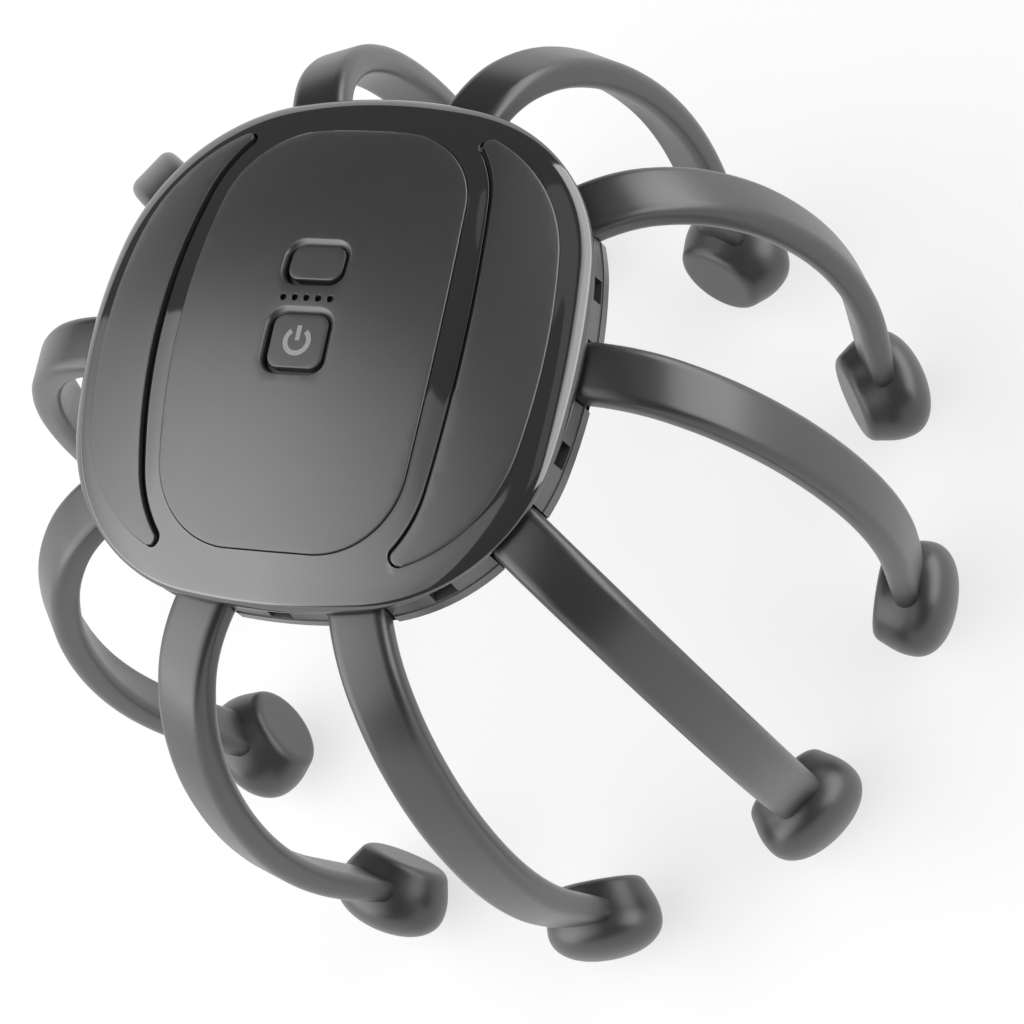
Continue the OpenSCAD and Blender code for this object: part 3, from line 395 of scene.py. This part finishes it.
CAD_MATERIALS = {
    "arm_frame": FRAME, "base_housing": BASE, "circuit_board": BOARD, "charge_board": BOARD,
    "power_switch": SWITCH, "mode_switch": SWITCH, "power_plunger": WHITE, "mode_plunger": WHITE,
    "indicator_leds": LED, "board_screws": STEEL, "strap_screws": STEEL, "base_screws": STEEL,
    "battery": FILM, "battery_leads": RED, "motor_leads": BLACK, "charge_leads": BLACK,
    "motor_can": CAN, "motor_end_cap": WHITE, "motor_shaft": CAN, "eccentric_weight": WEIGHT,
    "motor_strap": CAN, "charge_port": SHELL, "light_guide": LENS,
    "top_cover": GLOSS, "centre_panel": SATIN, "left_wing": SATIN, "right_wing": SATIN,
    "power_button": BUTTON, "mode_button": BUTTON,
}
for number in range(1, ARM_COUNT + 1):
    CAD_MATERIALS[f"arm_{number}"] = ARM
    CAD_MATERIALS[f"pad_{number}"] = PAD
for node, material in CAD_MATERIALS.items():
    mesh = nodes[node].data
    mesh.materials.clear()
    mesh.materials.append(material)

# ---- Top cover ----
CLEAR = 0.1
PANEL_PROUD, PANEL_T = 0.35, 2.0
POCKET_DEPTH, POCKET_FLOOR = 2.4, 1.3
SLIT_W, WING_GAP, WING_PROUD, TIP_R = 0.9, 0.2, 0.6, 1.1
CHANNEL_DROP, FADE_START = 0.3, math.radians(35)
EDGE_ROUND, LIP_H, LIP_W = 3.2, 0.5, 1.9
# The ledge that the panel sits on, and the round at the brink of its opening
SEAT_W, SEAT_T, BRINK_R = 3.0, 1.85, 0.12
SLIT_ROUND, SLIT_LEDGE, POCKET_ROUND = 0.22, 1.0, 0.06
# Past a pocket's end both its sides run on as a ridge of this width
RIDGE_W, ANGLE_SLACK = 0.06, 1e-4


def tip_centre(inner, outer, r):
    """Middle of the round end between an inner and an outer edge."""
    i, j = corner_centre(inner), corner_centre(outer)
    r1, r2 = inner[4] + r, outer[4] - r
    d = np.linalg.norm(j - i)
    u = (j - i) / d
    t = (d * d + r1 * r1 - r2 * r2) / (2 * d)
    return i + t * u + math.sqrt(r1 * r1 - t * t) * np.array([-u[1], u[0]])


def heading(v):
    return math.atan2(v[1], v[0])


def unit(v):
    return v / np.linalg.norm(v)


TIP = tip_centre(WING_IN, WING_OUT, TIP_R)
# The pocket is the wing's shape with the slit on its inner side and a gap on its outer side
POCKET_IN, POCKET_OUT = inset(WING_IN, SLIT_W), inset(WING_OUT, -WING_GAP)
POCKET_R = TIP_R + (SLIT_W + WING_GAP) / 2
POCKET_C = tip_centre(POCKET_IN, POCKET_OUT, POCKET_R)
POCKET_END = heading(POCKET_C) + math.asin(POCKET_R / np.linalg.norm(POCKET_C))
END_IN = heading(POCKET_C + POCKET_R * unit(corner_centre(POCKET_IN) - POCKET_C))
END_OUT = heading(POCKET_C + POCKET_R * unit(POCKET_C - corner_centre(POCKET_OUT)))
END_R = math.sqrt(float(POCKET_C @ POCKET_C) - POCKET_R ** 2)


def fold(a):
    a = abs((a + math.pi) % (2 * math.pi) - math.pi)
    return math.pi - a if a > math.pi / 2 else a


def pocket_sides(a):
    """Both sides of a wing's pocket along a ray. Past its end they run on close together."""
    if a > POCKET_END + ANGLE_SLACK:
        c = reach(POCKET_OUT, a) - reach(POCKET_OUT, POCKET_END) + END_R
        return c - RIDGE_W, c
    ray = np.array([math.cos(a), math.sin(a)])
    off = ray[0] * POCKET_C[1] - ray[1] * POCKET_C[0]
    half = math.sqrt(max(0.0009, POCKET_R ** 2 - off ** 2))
    m = float(POCKET_C @ ray)
    return (reach(POCKET_IN, a) if a < END_IN else m - half,
            reach(POCKET_OUT, a) if a < END_OUT else m + half)


def rim_height(a, d):
    """Height of the cover at d inside its outline, where the edge rounds down to the lip."""
    r = reach(inset(BODY, d), a)
    drop = dome(reach(BODY, a)) - LIP_H
    x = (EDGE_ROUND - d) / EDGE_ROUND
    return dome(r) - (0 if x <= 0 else drop * (1 - math.sqrt(max(0.0, 1 - x * x))))


def cover_section(angle):
    """Closed cross-section of the cover along a ray, from the panel's ledge outwards."""
    a = fold(angle)
    p, q = reach(inset(PANEL, -CLEAR), a), reach(inset(PANEL, SEAT_W), a)
    b, c = pocket_sides(a)
    pocket = a <= POCKET_END + ANGLE_SLACK
    drop = CHANNEL_DROP * (1 - smooth_step((a - FADE_START) / (POCKET_END - FADE_START)))
    seat = PANEL_T - PANEL_PROUD + CLEAR
    s = [(q, dome(q) - seat - SEAT_T), (q, dome(q) - seat), (p, dome(p) - seat), (p, dome(p) - 0.2)]
    s += [(p + BRINK_R * (1 - math.cos(t)), dome(p) - BRINK_R * (1 - math.sin(t)) - 0.01)
          for t in (0.4, 0.9, 1.4)]
    # the channel sinks towards the slit, whose edge is slightly rounded
    round_b = SLIT_ROUND if pocket else 0.0
    for u in np.linspace(0.06, 1, 9):
        r = p + u * (b - round_b - p)
        s.append((r, dome(r) - u ** 1.5 * drop))
    edge = dome(b - round_b) - drop
    s += [(b - round_b * (1 - math.sin(t)), edge - round_b * (1 - math.cos(t)))
          for t in (0.4, 0.8, 1.2, 1.57)]
    # the slit's floor is a ledge beside the wing, over the deeper floor under it
    ledge = min(SLIT_W - 0.03, 0.4 * (c - b))
    for r, low in ((b + 0.02, SLIT_LEDGE), (b + ledge, SLIT_LEDGE), (b + ledge + 0.01, POCKET_DEPTH),
                   (c - 0.01, POCKET_DEPTH)):
        s.append((r, dome(r) - (low if pocket else 0.0)))
    round_c = POCKET_ROUND if pocket else 0.0
    s += [(c + round_c * (1 - math.cos(t)), dome(c) - round_c * (1 - math.sin(t)))
          for t in (0.0, 0.35, 0.75, 1.15, 1.57)]
    for d in (RIM_W - WING_GAP - 0.6, 4.0, 3.6, 3.3):
        r = max(reach(inset(BODY, d), a), c + round_c + 0.02 * (5 - d))
        s.append((r, dome(r)))
    for t in np.linspace(0.0, 1, 13):
        d = EDGE_ROUND * (1 - math.sin(t * math.pi / 2))
        s.append((reach(inset(BODY, d), a), rim_height(a, d)))
    s += [(reach(BODY, a), 0.25), (reach(inset(BODY, 0.05), a), 0.08), (reach(inset(BODY, 0.2), a), 0.0)]
    e, g = reach(inset(BODY, LIP_W), a), reach(inset(BODY, LIP_W + 0.7), a)
    s += [(e, 0.0), (g, max(dome(g) - 2.2, 0.15))]
    for u in (0.8, 0.35):
        r = b + u * (c - b)
        s.append((r, max(dome(r) - POCKET_DEPTH - POCKET_FLOOR, 0.15)))
    for r in (b + 0.1 * (c - b), p + 0.3 * (b - p)):
        s.append((r, dome(r) - seat - SEAT_T))
    return s


def cover_angles():
    """Where the cross-sections stand: closer together towards the round ends of the pockets."""
    first = min(END_IN, END_OUT)
    q = list(np.linspace(0, first, 40)[:-1])
    shares = (0, 0.15, 0.3, 0.44, 0.57, 0.68, 0.78, 0.86, 0.92, 0.965, 0.99, 1)
    q += [first + u * (POCKET_END - first) for u in shares]
    q += list(np.linspace(POCKET_END + math.radians(0.03), math.pi / 2, 26)[:-1])
    return (q + [math.pi / 2] + [math.pi - a for a in reversed(q[1:])] + [math.pi]
            + [math.pi + a for a in q[1:]] + [1.5 * math.pi]
            + [2 * math.pi - a for a in reversed(q[1:])])


angles = cover_angles()
rows = [cover_section(a) for a in angles]
verts = [(r * math.cos(a), r * math.sin(a), z) for a, row in zip(angles, rows) for r, z in row]
cover = add_object("cover_shell", verts, rows_to_faces((len(rows), len(rows[0])), True, True),
                   "housing", GLOSS)
sharpen(cover, 32)
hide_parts("top_cover")

# ---- Panel, wings and buttons ----
N_EDGE = 240
PSI = np.linspace(0, 2 * math.pi, N_EDGE, endpoint=False)


def panel_rim(d):
    return edge_points(inset(PANEL, d), PSI)


MODE = (10.3, 6.6, 11.5)
POWER = (10.5, 9.9, -3.1)
BUTTON_R, BUTTON_GAP = 2.2, 0.25
RECESS_W, RECESS_H = 0.9, 0.9
LIGHT_D, LIGHT_PITCH, LIGHT_Y = 1.25, 2.25, 4.65
PANEL_FILLET, WING_FILLET, BUTTON_FILLET = 0.18, 0.22, 0.38
# A wing's outer edge stands a little wider than the solid, and its top slopes towards it
WING_GROWN, WING_SLOPE = 0.19, 0.38


def recess_hole(w, l, y):
    """Straight wall, a slope up to the panel and a small round at its brink."""
    even = rounded_box(w + 2 * BUTTON_GAP, l + 2 * BUTTON_GAP, BUTTON_R + BUTTON_GAP, y)
    full = RECESS_W * 1.2

    def ring(d):
        inner, outer = even(d), even(full)
        way = unit(outer - even(0)) * np.sqrt(len(inner))
        steep = np.array([0.6 * smooth_step(0.5 - 0.7 * v[1] - 0.35 * v[0]) for v in way])
        return inner + steep[:, None] * (outer - inner)

    profile = [(0, None), (0, -RECESS_H), (0.05, -RECESS_H + 0.03)]
    for t in np.linspace(0.15, 0.82, 5):
        profile.append((RECESS_W * t, -RECESS_H * (1 - t)))
    profile += [(RECESS_W * 0.93, -RECESS_H * 0.08), (RECESS_W * 1.05, -RECESS_H * 0.015),
                (RECESS_W * 1.2, 0.0)]
    return ring, profile


holes = [recess_hole(*MODE), recess_hole(*POWER)]
light_x = [(i - 2) * LIGHT_PITCH for i in range(5)]
for x in light_x:
    holes.append((circle_ring(x, LIGHT_Y, LIGHT_D / 2), [(0, None), (0, -0.05), (0.05, 0.0)]))
panel = plate("centre_panel_skin", panel_rim, lambda x, y: dome(x, y) + PANEL_PROUD,
              lambda x, y: dome(x, y) + PANEL_PROUD - PANEL_T, PANEL_FILLET, "housing", SATIN,
              holes)
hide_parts("centre_panel")


def wing_rim_points(side):
    """The edge of a wing, as a ring that d moves inwards."""
    out_n, in_n = heading(TIP - corner_centre(WING_OUT)), heading(TIP - corner_centre(WING_IN))
    turn = in_n + math.pi

    def ring(d):
        outer = edge_points(inset(WING_OUT, d - WING_GROWN), np.linspace(-out_n, out_n, 90))
        tip = np.array([(TIP[0] + (TIP_R - d) * math.cos(t), TIP[1] + (TIP_R - d) * math.sin(t))
                        for t in np.linspace(out_n, turn, 18)[1:-1]])
        inner = edge_points(inset(WING_IN, -d), np.linspace(in_n, -in_n, 90))
        low_tip = tip[::-1] * (1, -1)
        p = np.vstack([outer, tip, inner, low_tip])
        return p * (side, 1) if side > 0 else (p * (-1, 1))[::-1]
    return ring


def wing_top(x, y):
    """A wing stands proud beside the slit and comes down towards the rim."""
    out = (np.abs(x) - WING_IN[0]) / (WING_OUT[0] - WING_IN[0])
    return dome(x, y) + WING_PROUD - WING_SLOPE * np.clip(out, 0, 1) ** 1.5


for side, name in ((1, "right_wing"), (-1, "left_wing")):
    wing = plate(name + "_skin", wing_rim_points(side), wing_top,
                 lambda x, y: dome(x, y) - POCKET_DEPTH + CLEAR, WING_FILLET, "housing", SATIN)
    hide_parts(name)

SINK = 0.35
FLANGE_W, STEM_R, STEM_LOW = 0.8, 1.6, 6.95
FLANGE_TOP, FLANGE_LOW = PANEL_PROUD - 0.45, -0.9


def add_button(size, body, node):
    """A button's cap, with the flange and stem under it as in the solid."""
    w, l, y = size
    ring = rounded_box(w, l, BUTTON_R, y, 12)
    cap = plate(node + "_cap", lambda d: ring(-d), lambda x, y: dome(x, y) + PANEL_PROUD - SINK,
                lambda x, y: dome(x, y) + PANEL_PROUD - PANEL_T, BUTTON_FILLET, body, BUTTON,
                step=0.9)
    flange = rounded_box(w + 2 * FLANGE_W, l + 2 * FLANGE_W, BUTTON_R + FLANGE_W, y, 8)(0)
    stem = circle_ring(0, y, STEM_R, 32)(0)
    top, low = float(dome(y)) - PANEL_T + FLANGE_TOP, float(dome(y)) - PANEL_T + FLANGE_LOW
    b = Build()
    b.rod([(px, py, top) for px, py in flange], [(px, py, low) for px, py in flange])
    b.rod([(px, py, low + 0.02) for px, py in stem], [(px, py, STEM_LOW) for px, py in stem])
    add_object(node + "_stem", b.verts, b.faces, body, BUTTON, smooth=False)
    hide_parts(node)


add_button(MODE, "mode_key", "mode_button")
add_button(POWER, "power_key", "power_button")

RING_OUT, RING_IN, GAP = 2.65, 1.75, math.radians(38)
BAR_W, BAR_LO, BAR_HI = 0.85, 0.1, 2.8
SYMBOL_Y = POWER[2] - 0.1
# The print's top and underside, over the button's top
INK_TOP, INK_LOW = 0.03, -0.05


def on_button(x, y, lift):
    return (x, SYMBOL_Y + y, float(dome(x, SYMBOL_Y + y)) + PANEL_PROUD - SINK + lift)


def add_symbol():
    """Power symbol: a broken ring and a bar, printed on the lower button."""
    b = Build()
    turn = np.linspace(math.pi / 2 + GAP, math.pi * 2.5 - GAP, 60)

    def arc_row(r, lift):
        return b.add([on_button(r * math.cos(t), r * math.sin(t), lift) for t in turn])

    outer, inner = arc_row(RING_OUT, INK_TOP), arc_row(RING_IN, INK_TOP)
    outer_low, inner_low = arc_row(RING_OUT, INK_LOW), arc_row(RING_IN, INK_LOW)
    rows = (outer, inner, inner_low, outer_low)
    for a, c in zip(rows, rows[1:] + rows[:1]):
        b.bridge(a, c, closed=False)
    for k in (0, -1):
        b.faces.append(tuple(row[k] for row in rows))
    corners = ((-BAR_W / 2, BAR_LO), (BAR_W / 2, BAR_LO), (BAR_W / 2, BAR_HI), (-BAR_W / 2, BAR_HI))
    top = b.add([on_button(x, y, INK_TOP) for x, y in corners])
    low = b.add([on_button(x, y, INK_LOW) for x, y in corners])
    b.bridge(top, low)
    b.faces += [tuple(top), tuple(low[::-1])]
    add_object("power_symbol", b.verts, b.faces, "power_key", SYMBOL, smooth=False)


add_symbol()

# ---- Arms ----
ROOT_R, ROOT_Z, BEND_START = 44.2, -3.7, 0.85
BENDS = ((22.2, 43.5), (46.5, 16.6), (75.9, 12.7), (110.7, 27.0))
TAIL = 30.5
ARM_W, ARM_T, EDGE_R = 10.6, 5.7, 2.1
END_SLIM, END_LENGTH = 1.5, 26.0
# How far the arm stands over its nominal section, and what it loses towards its end
SKIN, THICK_TAPER, WIDTH_TAPER = 0.05, 0.35, 0.4
TRUNNION_R, TRUNNION_IN, TRUNNION_OUT = 1.7, 0.6, 1.9


def centre_line():
    """Points of an arm's centre line: (distance, height, heading, length so far)."""
    x, z, h, s = ROOT_R + BEND_START, ROOT_Z, 0.0, 0.0
    pts = [(ROOT_R, ROOT_Z, 0.0, -BEND_START)]
    pts.append((x, z, h, s))
    for r, a in BENDS:
        steps = max(8, int(r * math.radians(a) / 1.6))
        for k in range(1, steps + 1):
            t = h + math.radians(a) * k / steps
            pts.append((x + r * (math.sin(t) - math.sin(h)), z - r * (math.cos(h) - math.cos(t)), t,
                        s + r * math.radians(a) * k / steps))
        x, z, h, s = pts[-1]
    for k in range(1, 21):
        d = TAIL * k / 20
        pts.append((x + d * math.cos(h), z - d * math.sin(h), h, s + d))
    return pts


LINE = centre_line()
LENGTH = LINE[-1][3]
PAD_MID = np.array(LINE[-1][:2])


def arm_ring(width, thick, radius, n=7):
    """A rounded rectangle across the arm: (sideways, outwards)."""
    out = []
    for q in range(4):
        sx, sy = (1, -1, -1, 1)[q], (1, 1, -1, -1)[q]
        for t in np.linspace(q * math.pi / 2, (q + 1) * math.pi / 2, n):
            out.append((sx * (width / 2 - radius) + radius * math.cos(t),
                        sy * (thick / 2 - radius) + radius * math.sin(t)))
    return out


def arm_mesh():
    """Arm 1: its round root, the swept and tapering section, and the trunnions."""
    b = Build()
    rows = []
    # round root, turned about the hinge
    for t in np.linspace(-math.pi / 2, 0, 7)[:-1]:
        f = math.cos(t)
        thick = max(ARM_T * f, 0.3)
        ring = arm_ring(ARM_W, thick, min(EDGE_R, thick / 2 - 0.02))
        x = ROOT_R + ARM_T / 2 * math.sin(t)
        rows.append(b.add([(x, w, ROOT_Z + o) for w, o in ring]))
    for x, z, h, s in LINE:
        k = max(0.0, s) / LENGTH
        slim = END_SLIM * smooth_step((s - LENGTH + END_LENGTH) / END_LENGTH)
        thick = ARM_T + SKIN - THICK_TAPER * k - slim
        ring = arm_ring(ARM_W + 2 * SKIN - WIDTH_TAPER * k, thick, min(EDGE_R, thick / 2 - 0.05))
        rows.append(b.add([(x + (o - slim / 2) * math.sin(h), w, z + (o - slim / 2) * math.cos(h))
                           for w, o in ring]))
    for r0, r1 in zip(rows, rows[1:]):
        b.bridge(r0, r1)
    b.close(rows[0], rows[-1])
    around = [(ROOT_R + TRUNNION_R * math.cos(u), ROOT_Z + TRUNNION_R * math.sin(u))
              for u in np.linspace(0, 2 * math.pi, 28, endpoint=False)]
    for side in (-1, 1):
        b.rod(*[[(x, side * y, z) for x, z in around]
                for y in (ARM_W / 2 - TRUNNION_IN, ARM_W / 2 + TRUNNION_OUT)])
    return b


# ---- Pads ----
# A domed bulb that narrows to a flat face. Distances run towards the face.
BULB_R, BULB_AT, BULB_BACK, BULB_POWER = 11.3, -1.6, 6.9, 2.2
FLAT_R, FACE_AT, FACE_ROUND, FLARE = 7.1, 6.8, 2.4, math.radians(22)
PAD_TILT = math.radians(13)
# How strongly the curve between bulb and face follows each of its ends
BULB_PULL, FLARE_PULL = 3.0, 2.3
# The solid pad's lowest point, under its middle
SOLID_LOW = 3.55 * math.cos(PAD_TILT) + 6.2


def curve(points, n):
    """A smooth curve's inner points, from its four control points."""
    a, b, c, d = np.array(points)
    return [tuple((1 - t) ** 3 * a + 3 * t * (1 - t) ** 2 * b + 3 * t * t * (1 - t) * c + t ** 3 * d)
            for t in np.linspace(0, 1, n + 2)[1:-1]]


def pad_profile():
    """Half the pad's section: (radius, distance towards its face)."""
    e = 2 / BULB_POWER
    pts = [(0.0, BULB_AT - BULB_BACK)]
    pts += [(BULB_R * math.sin(t) ** e, BULB_AT - BULB_BACK * math.cos(t) ** e)
            for t in np.linspace(0, math.pi / 2, 26)[1:]]
    rim = [(FLAT_R + FACE_ROUND * math.cos(t), FACE_AT - FACE_ROUND * (1 - math.sin(t)))
           for t in np.linspace(FLARE, math.pi / 2, 9)]
    (r, d) = rim[0]
    pts += curve([(BULB_R, BULB_AT), (BULB_R, BULB_AT + BULB_PULL),
                  (r + FLARE_PULL * math.sin(FLARE), d - FLARE_PULL * math.cos(FLARE)), rim[0]], 12)
    pts += rim + [(r, FACE_AT) for r in np.linspace(FLAT_R, 0.9, 5)[1:]]
    pts.append((0.0, FACE_AT))
    return pts


def pad_lift(profile):
    """How far the pad is raised, so that it goes no lower than the solid."""
    return max(r * math.cos(PAD_TILT) - d * math.sin(PAD_TILT) for r, d in profile) - SOLID_LOW


def pad_mesh():
    """Pad 1, turned round its axis, with a single vertex at each end."""
    b = Build()
    prof = pad_profile()
    t = np.linspace(0, 2 * math.pi, 64, endpoint=False)
    axis = np.array([-math.cos(PAD_TILT), 0.0, math.sin(PAD_TILT)])
    up = np.array([math.sin(PAD_TILT), 0.0, math.cos(PAD_TILT)])
    side = np.array([0.0, 1.0, 0.0])
    mid = np.array([PAD_MID[0], 0.0, PAD_MID[1] + pad_lift(prof)])
    rows = []
    for r, d in prof:
        if r == 0.0:
            rows.append(b.add([mid + axis * d]))
        else:
            rows.append(b.add([mid + axis * d + r * (math.cos(u) * side + math.sin(u) * up) for u in t]))
    for r0, r1 in zip(rows, rows[1:]):
        if len(r0) == 1:
            b.faces += [(r0[0], r1[(i + 1) % len(r1)], r1[i]) for i in range(len(r1))]
        elif len(r1) == 1:
            b.faces += [(r1[0], r0[i], r0[(i + 1) % len(r0)]) for i in range(len(r0))]
        else:
            b.bridge(r0, r1)
    return b


def turned(verts, angle):
    c, s = math.cos(angle), math.sin(angle)
    return [(x * c - y * s, x * s + y * c, z) for x, y, z in verts]


arm_build, pad_build = arm_mesh(), pad_mesh()
for number in range(1, ARM_COUNT + 1):
    angle = math.radians(360 / ARM_COUNT * (number - 1))
    body = f"arm_{number}_flex"
    arm = add_object(f"arm_{number}_sweep", turned(arm_build.verts, angle), arm_build.faces, body,
                     ARM)
    sharpen(arm, 50)
    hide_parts(f"arm_{number}")
    pad = add_object(f"pad_{number}_knob", turned(pad_build.verts, angle), pad_build.faces, body,
                     PAD)
    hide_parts(f"pad_{number}")

# ---- Floor, lights and camera ----
scene = bpy.context.scene
scene.view_settings.view_transform = "Standard"


FLOOR_GREY = 0.36
# The floor's glow, as the camera and reflections see it, and how far out it changes, in metres
GLOW_NEAR, GLOW_FAR, GLOW_FROM, GLOW_TO = 0.66, 1.0, 0.3, 2.5


def floor_material():
    """Pale grey that shows as white, and whiter still far from the object, with the shadow kept."""
    m = bpy.data.materials.new("floor")
    m.use_nodes = True
    nt = m.node_tree
    nt.nodes.clear()
    out, both = nt.nodes.new("ShaderNodeOutputMaterial"), nt.nodes.new("ShaderNodeAddShader")
    diffuse, glow = nt.nodes.new("ShaderNodeBsdfDiffuse"), nt.nodes.new("ShaderNodeEmission")
    diffuse.inputs["Color"].default_value = (FLOOR_GREY, FLOOR_GREY, FLOOR_GREY, 1)
    path, where = nt.nodes.new("ShaderNodeLightPath"), nt.nodes.new("ShaderNodeTexCoord")
    seen = path.outputs["Is Camera Ray"]
    for other in ("Is Glossy Ray", "Is Transmission Ray"):
        either = nt.nodes.new("ShaderNodeMath")
        either.operation = "MAXIMUM"
        nt.links.new(seen, either.inputs[0])
        nt.links.new(path.outputs[other], either.inputs[1])
        seen = either.outputs["Value"]
    length = nt.nodes.new("ShaderNodeVectorMath")
    length.operation = "LENGTH"
    nt.links.new(where.outputs["Object"], length.inputs[0])
    far = nt.nodes.new("ShaderNodeMapRange")
    far.inputs["From Min"].default_value, far.inputs["From Max"].default_value = GLOW_FROM, GLOW_TO
    far.inputs["To Min"].default_value, far.inputs["To Max"].default_value = GLOW_NEAR, GLOW_FAR
    nt.links.new(length.outputs["Value"], far.inputs["Value"])
    level = nt.nodes.new("ShaderNodeMath")
    level.operation = "MULTIPLY"
    nt.links.new(seen, level.inputs[0])
    nt.links.new(far.outputs["Result"], level.inputs[1])
    nt.links.new(level.outputs["Value"], glow.inputs["Strength"])
    nt.links.new(diffuse.outputs["BSDF"], both.inputs[0])
    nt.links.new(glow.outputs["Emission"], both.inputs[1])
    nt.links.new(both.outputs["Shader"], out.inputs["Surface"])
    return m


# A wide round floor with a low brim for a horizon. A higher one would show in the glossy cover.
b = Build()
turn = np.linspace(0, 2 * math.pi, 96, endpoint=False)
rings = [b.add([(r * math.cos(t), r * math.sin(t), z) for t in turn])
         for r, z in ((300, -0.5), (3000, -0.5), (18000, -0.5), (19500, 300), (20000, 1700))]
for lower, upper in zip(rings, rings[1:]):
    b.bridge(lower, upper)
b.faces.append(tuple(rings[0]))
floor_mesh = bpy.data.meshes.new("floor")
floor_mesh.from_pydata([(x * MM, y * MM, z * MM) for x, y, z in b.verts], [], b.faces)
floor_mesh.materials.append(floor_material())
floor = bpy.data.objects.new("floor", floor_mesh)
scene.collection.objects.link(floor)

world = bpy.data.worlds.new("studio")
world.use_nodes = True
scene.world = world
world.node_tree.nodes["Background"].inputs["Color"].default_value = (0.12, 0.12, 0.122, 1)

TARGET = Vector((0, 0, 0.13))


def facing(azimuth, elevation, roll):
    """The axes of a lamp or camera that faces back from a direction: right, up and out."""
    a, e, k = math.radians(azimuth), math.radians(elevation), math.radians(roll)
    out = Vector((math.cos(e) * math.cos(a), math.cos(e) * math.sin(a), math.sin(e)))
    across = Vector((-math.sin(a), math.cos(a), 0))
    up = out.cross(across) * math.cos(k) - across * math.sin(k)
    return up.cross(out), up, out


def placed(axes, spot):
    return Matrix.Translation(spot) @ Matrix(axes).transposed().to_4x4()


def soft_box(name, azimuth, elevation, roll, sides, radiance, fades=(), distance=1.2):
    """A soft box as the housing sees it: sides are (left, right, low, high), as tangents.
    Each fade is (direction, from, to, strength there, strength here): it dims across the box."""
    right, up, out = facing(azimuth, elevation, roll)
    left, far, low, high = sides
    data = bpy.data.lights.new(name, "AREA")
    data.shape = "RECTANGLE"
    data.size, data.size_y = (far - left) * distance, (high - low) * distance
    data.energy = radiance * math.pi * data.size * data.size_y
    obj = bpy.data.objects.new(name, data)
    scene.collection.objects.link(obj)
    spot = TARGET + distance * (out + (left + far) / 2 * right + (low + high) / 2 * up)
    obj.matrix_world = placed((right, up, out), spot)
    if not fades:
        return
    data.use_nodes = True
    nt = data.node_tree
    emission = nt.nodes["Emission"]
    place = nt.nodes.new("ShaderNodeNewGeometry")
    way = nt.nodes.new("ShaderNodeVectorMath")
    way.operation = "SUBTRACT"
    way.inputs[1].default_value = TARGET
    nt.links.new(place.outputs["Position"], way.inputs[0])
    straight = nt.nodes.new("ShaderNodeVectorMath")
    straight.operation = "NORMALIZE"
    nt.links.new(way.outputs["Vector"], straight.inputs[0])
    strength = None
    for direction, lo, hi, at_lo, at_hi in fades:
        dot = nt.nodes.new("ShaderNodeVectorMath")
        dot.operation = "DOT_PRODUCT"
        dot.inputs[1].default_value = Vector(direction).normalized()
        nt.links.new(straight.outputs["Vector"], dot.inputs[0])
        fade = nt.nodes.new("ShaderNodeMapRange")
        fade.inputs["From Min"].default_value, fade.inputs["From Max"].default_value = lo, hi
        fade.inputs["To Min"].default_value, fade.inputs["To Max"].default_value = at_lo, at_hi
        nt.links.new(dot.outputs["Value"], fade.inputs["Value"])
        if strength is None:
            strength = fade.outputs["Result"]
        else:
            product = nt.nodes.new("ShaderNodeMath")
            product.operation = "MULTIPLY"
            nt.links.new(strength, product.inputs[0])
            nt.links.new(fade.outputs["Result"], product.inputs[1])
            strength = product.outputs["Value"]
    nt.links.new(strength, emission.inputs["Strength"])


# The big box's upper side is the edge that shows in the glossy cover. It is brightest low on the left.
soft_box("key_box", 200, 45, 69.1, (-1.1, 1.5, -1.7, 0.644), 2.65,
         fades=[((-0.29, -0.94, 0.17), 0.0, 0.6, 0.52, 1.0), ((1, 0, 0), -0.5, 0.15, 1.0, 0.3),
                ((-0.91, 0.27, -0.32), 0.55, 0.88, 1.0, 0.4)])
soft_box("edge_box", 30, 18, 0, (-0.84, 1.1, -0.42, 0.28), 2.9,
         fades=[((0, 0, 1), 0.38, 0.56, 1.0, 0.35)])
soft_box("rim_box", 32, 50, 0, (-0.6, 0.8, -0.16, 0.18), 0.25)

# The camera, solved from the photo. Its spot is in mm, over the middle of the parting line.
CAMERA_SPOT = (268.61871, -182.7754, 477.27726 + LIP)
CAMERA_AZIMUTH, CAMERA_ELEVATION, CAMERA_ROLL = -34.374896, 59.914566, -47.265503
FOCAL_PIXELS, PHOTO_PIXELS, SENSOR = 3327.80333, 1024, 36.0
camera_data = bpy.data.cameras.new("camera")
camera_data.sensor_width = SENSOR
camera_data.lens = FOCAL_PIXELS / PHOTO_PIXELS * SENSOR
camera_data.clip_start = 0.01
camera = bpy.data.objects.new("camera", camera_data)
scene.collection.objects.link(camera)
camera.matrix_world = placed(facing(CAMERA_AZIMUTH, CAMERA_ELEVATION, CAMERA_ROLL),
                             Vector(CAMERA_SPOT) * MM)
scene.camera = camera
